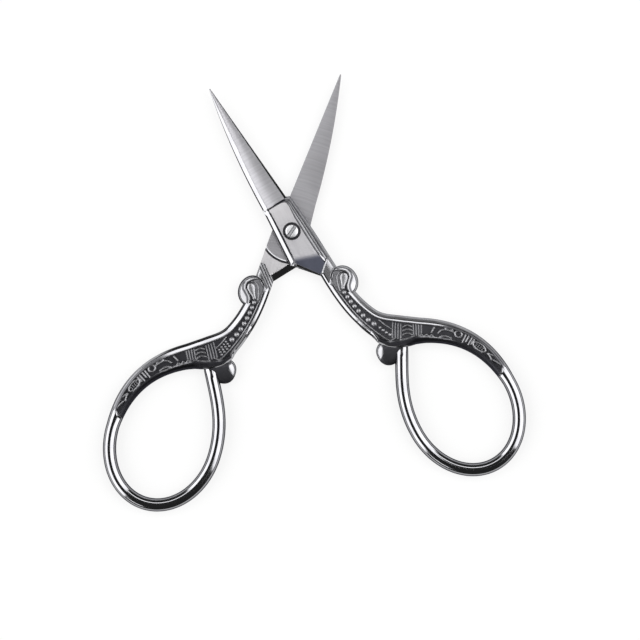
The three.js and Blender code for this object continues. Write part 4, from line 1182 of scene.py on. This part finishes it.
# %% Screw
screw_low, screw_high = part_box("pivot_screw")
HEAD_REACH, HEAD_FACE, HEAD_DOME, HEAD_CHAMFER = 1.9, 1.45, 0.5, 0.08
DOME_SQUARE, DOME_ROUND, DOME_RINGS, SCREW_AROUND = 4, 0.6, 46, 180
SCREW_SHANK, SCREW_THREAD, THREAD_CHAMFER, THREAD_STEP = 1.3, 1.1, 0.15, -0.1
SLOT_WIDE, SLOT_DEEP, SLOT_ANGLE, SLOT_EASE = 0.7, 0.45, math.radians(49), 0.06
SLOT_DARK, WALL_DARK, WALL_HALF, RIM_DARK, RIM_DARK_LONG = 0.4, 0.9, 0.12, 0.95, 0.1


def screw_surface():
    """Profile from the middle of the thread's end, out, up, under the head and over the dome. The slot is
    cut where a point lies within half its width of its line."""
    top = screw_high.z / MM - HALF_THICK
    foot = screw_low.z / MM - HALF_THICK
    dome = np.linspace(1, POLE, DOME_RINGS)
    profile = np.array([
        (0.03, foot), (SCREW_THREAD - THREAD_CHAMFER, foot), (SCREW_THREAD, foot + THREAD_CHAMFER),
        (SCREW_THREAD, THREAD_STEP), (SCREW_SHANK, 0.0), (SCREW_SHANK, SEAT_HIGH),
        (HEAD_REACH - HEAD_CHAMFER, SEAT_HIGH), (HEAD_REACH, SEAT_HIGH + HEAD_CHAMFER),
    ])
    dome_high = top - HEAD_DOME + HEAD_DOME * (1 - dome**DOME_SQUARE) ** DOME_ROUND
    reach = np.concatenate([profile[:, 0], HEAD_REACH * dome])[:, None]
    height = np.concatenate([profile[:, 1], dome_high])[:, None]
    angle = ring_angles(SCREW_AROUND)
    x, y = reach * np.cos(angle), reach * np.sin(angle)
    off = np.abs(-x * math.sin(SLOT_ANGLE) + y * math.cos(SLOT_ANGLE))
    on_dome = np.arange(len(reach))[:, None] >= len(profile)
    cut = smooth((SLOT_WIDE / 2 - off) / SLOT_EASE + 0.5) * on_dome
    z = sink(height, top - SLOT_DEEP, cut)
    # Painted shade: the slot's floor and walls go dark, and so does the rim of the head in the gap of its
    # seat.
    wall = WALL_DARK * hump(off - SLOT_WIDE / 2, WALL_HALF)
    slot = np.maximum(SLOT_DARK * cut, wall) * (reach < HEAD_FACE)
    black = np.maximum(RIM_DARK * past(reach, HEAD_FACE, RIM_DARK_LONG), slot)
    return surface(np.stack([x, y, z], axis=-1), recess=black)


make_piece("screw", "back", [screw_surface()], [bright], "pivot_screw", lay="upright")

# %% [markdown]
# ## Table, light and camera
# Polished metal looks like what stands around it, so the light is a plain photo tent: a softbox at the
# left and one at the right, a long strip at the far side, a short one at the near left, a pale wall at the
# height of the table, and a dark ceiling where the camera looks through. The tent is drawn in the world's
# own nodes, because lamps would show as hard spots. The table is matt white and keeps a soft shadow.

# %% Table
FLOOR_REACH, FLOOR_GAP, TABLE_GLOW = 4.0, 0.00005, 0.8
WHITE, PAPER = (1.0, 1.0, 1.0, 1.0), (0.95, 0.95, 0.945, 1.0)
corners = [(x * FLOOR_REACH, y * FLOOR_REACH, -FLOOR_GAP) for x, y in ((-1, -1), (1, -1), (1, 1), (-1, 1))]
floor_mesh = bpy.data.meshes.new("table")
floor_mesh.from_pydata(corners, [], [(0, 1, 2, 3)])
table = bpy.data.objects.new("table", floor_mesh)
bpy.context.scene.collection.objects.link(table)
paper = bpy.data.materials.new("matt_white_table")
paper.use_nodes = True
tree = paper.node_tree
matt = tree.nodes["Principled BSDF"]
for socket, value in (("Base Color", PAPER), ("Roughness", 0.95), ("Specular IOR Level", 0.1)):
    matt.inputs[socket].default_value = value
path_kind = add(tree, "ShaderNodeLightPath").outputs
seen = number(tree, "MAXIMUM", path_kind["Is Camera Ray"], path_kind["Is Glossy Ray"])
seen = number(tree, "MAXIMUM", seen, path_kind["Is Transmission Ray"])
white = add(tree, "ShaderNodeEmission", {"Color": WHITE, "Strength": 1.0})
faint = {0: number(tree, "MULTIPLY", seen, TABLE_GLOW), 1: matt.outputs[0], 2: white.outputs[0]}
mixed = add(tree, "ShaderNodeMixShader", faint)
tree.links.new(mixed.outputs[0], tree.nodes["Material Output"].inputs["Surface"])
floor_mesh.materials.append(paper)
print("table", 2 * FLOOR_REACH, "m wide")

# %% Photo tent
ROLL = math.radians(6.37)
SOFTBOX, STRIP, WALL, GLOOM = 2.7, 2.5, 0.75, 0.035
# Middle and half width of each light in degrees round the table, then its polar angles from overhead.
TENT = [(SOFTBOX, 180.0, 47, 28, 76), (SOFTBOX, 8.0, 37, 10, 74), (STRIP, 90.0, 60, 28.5, 39.5),
        (STRIP, 240.0, 10, 52, 61), (WALL, 0.0, 181, 87, 100)]
SIDE_EASE, NEAR_EASE, FAR_EASE = 2.0, 1.0, 1.5
world = bpy.data.worlds.new("photo_tent")
bpy.context.scene.world = world
world.use_nodes = True
tent = world.node_tree
ray = add(tent, "ShaderNodeTexCoord").outputs["Generated"]
part = add(tent, "ShaderNodeSeparateXYZ", {"Vector": ray}).outputs
right = number(tent, "SUBTRACT", number(tent, "MULTIPLY", part["X"], math.cos(ROLL)),
               number(tent, "MULTIPLY", part["Y"], math.sin(ROLL)))
ahead = number(tent, "ADD", number(tent, "MULTIPLY", part["X"], math.sin(ROLL)),
               number(tent, "MULTIPLY", part["Y"], math.cos(ROLL)))
compass = number(tent, "DEGREES", number(tent, "ARCTAN2", ahead, right))
polar = number(tent, "DEGREES", number(tent, "ARCCOSINE", part["Z"]))
glow = GLOOM
for strength, middle, half_wide, near, far in TENT:
    turned = number(tent, "WRAP", number(tent, "SUBTRACT", compass, middle), 180.0, -180.0)
    apart = number(tent, "ABSOLUTE", turned)
    within = spread(tent, apart, half_wide - SIDE_EASE, half_wide + SIDE_EASE, 1.0, 0.0)
    below = spread(tent, polar, near - NEAR_EASE, near + NEAR_EASE)
    above = spread(tent, polar, far - FAR_EASE, far + FAR_EASE, 1.0, 0.0)
    window = number(tent, "MULTIPLY", within, number(tent, "MULTIPLY", below, above))
    glow = number(tent, "MAXIMUM", glow, number(tent, "MULTIPLY", window, strength))
tent.links.new(glow, tent.nodes["Background"].inputs["Strength"])
tent.nodes["Background"].inputs["Color"].default_value = WHITE
print("lights in the tent", len(TENT))

# %% Camera
FIELD_WIDE, CAMERA_HIGH = 155.7 * MM, 0.9
VIEW_MIDDLE = (4.42 * MM, -22.19 * MM)
eye = bpy.data.cameras.new("eye")
camera = bpy.data.objects.new("eye", eye)
bpy.context.scene.collection.objects.link(camera)
camera.location = (VIEW_MIDDLE[0], VIEW_MIDDLE[1], CAMERA_HIGH)
camera.rotation_euler = (0.0, 0.0, -ROLL)
eye.sensor_width = 36.0
eye.lens = eye.sensor_width * (CAMERA_HIGH - HALF_THICK * MM) / FIELD_WIDE
bpy.context.scene.camera = camera
bpy.context.scene.view_settings.view_transform = "Standard"
print("lens", round(eye.lens, 1), "mm")
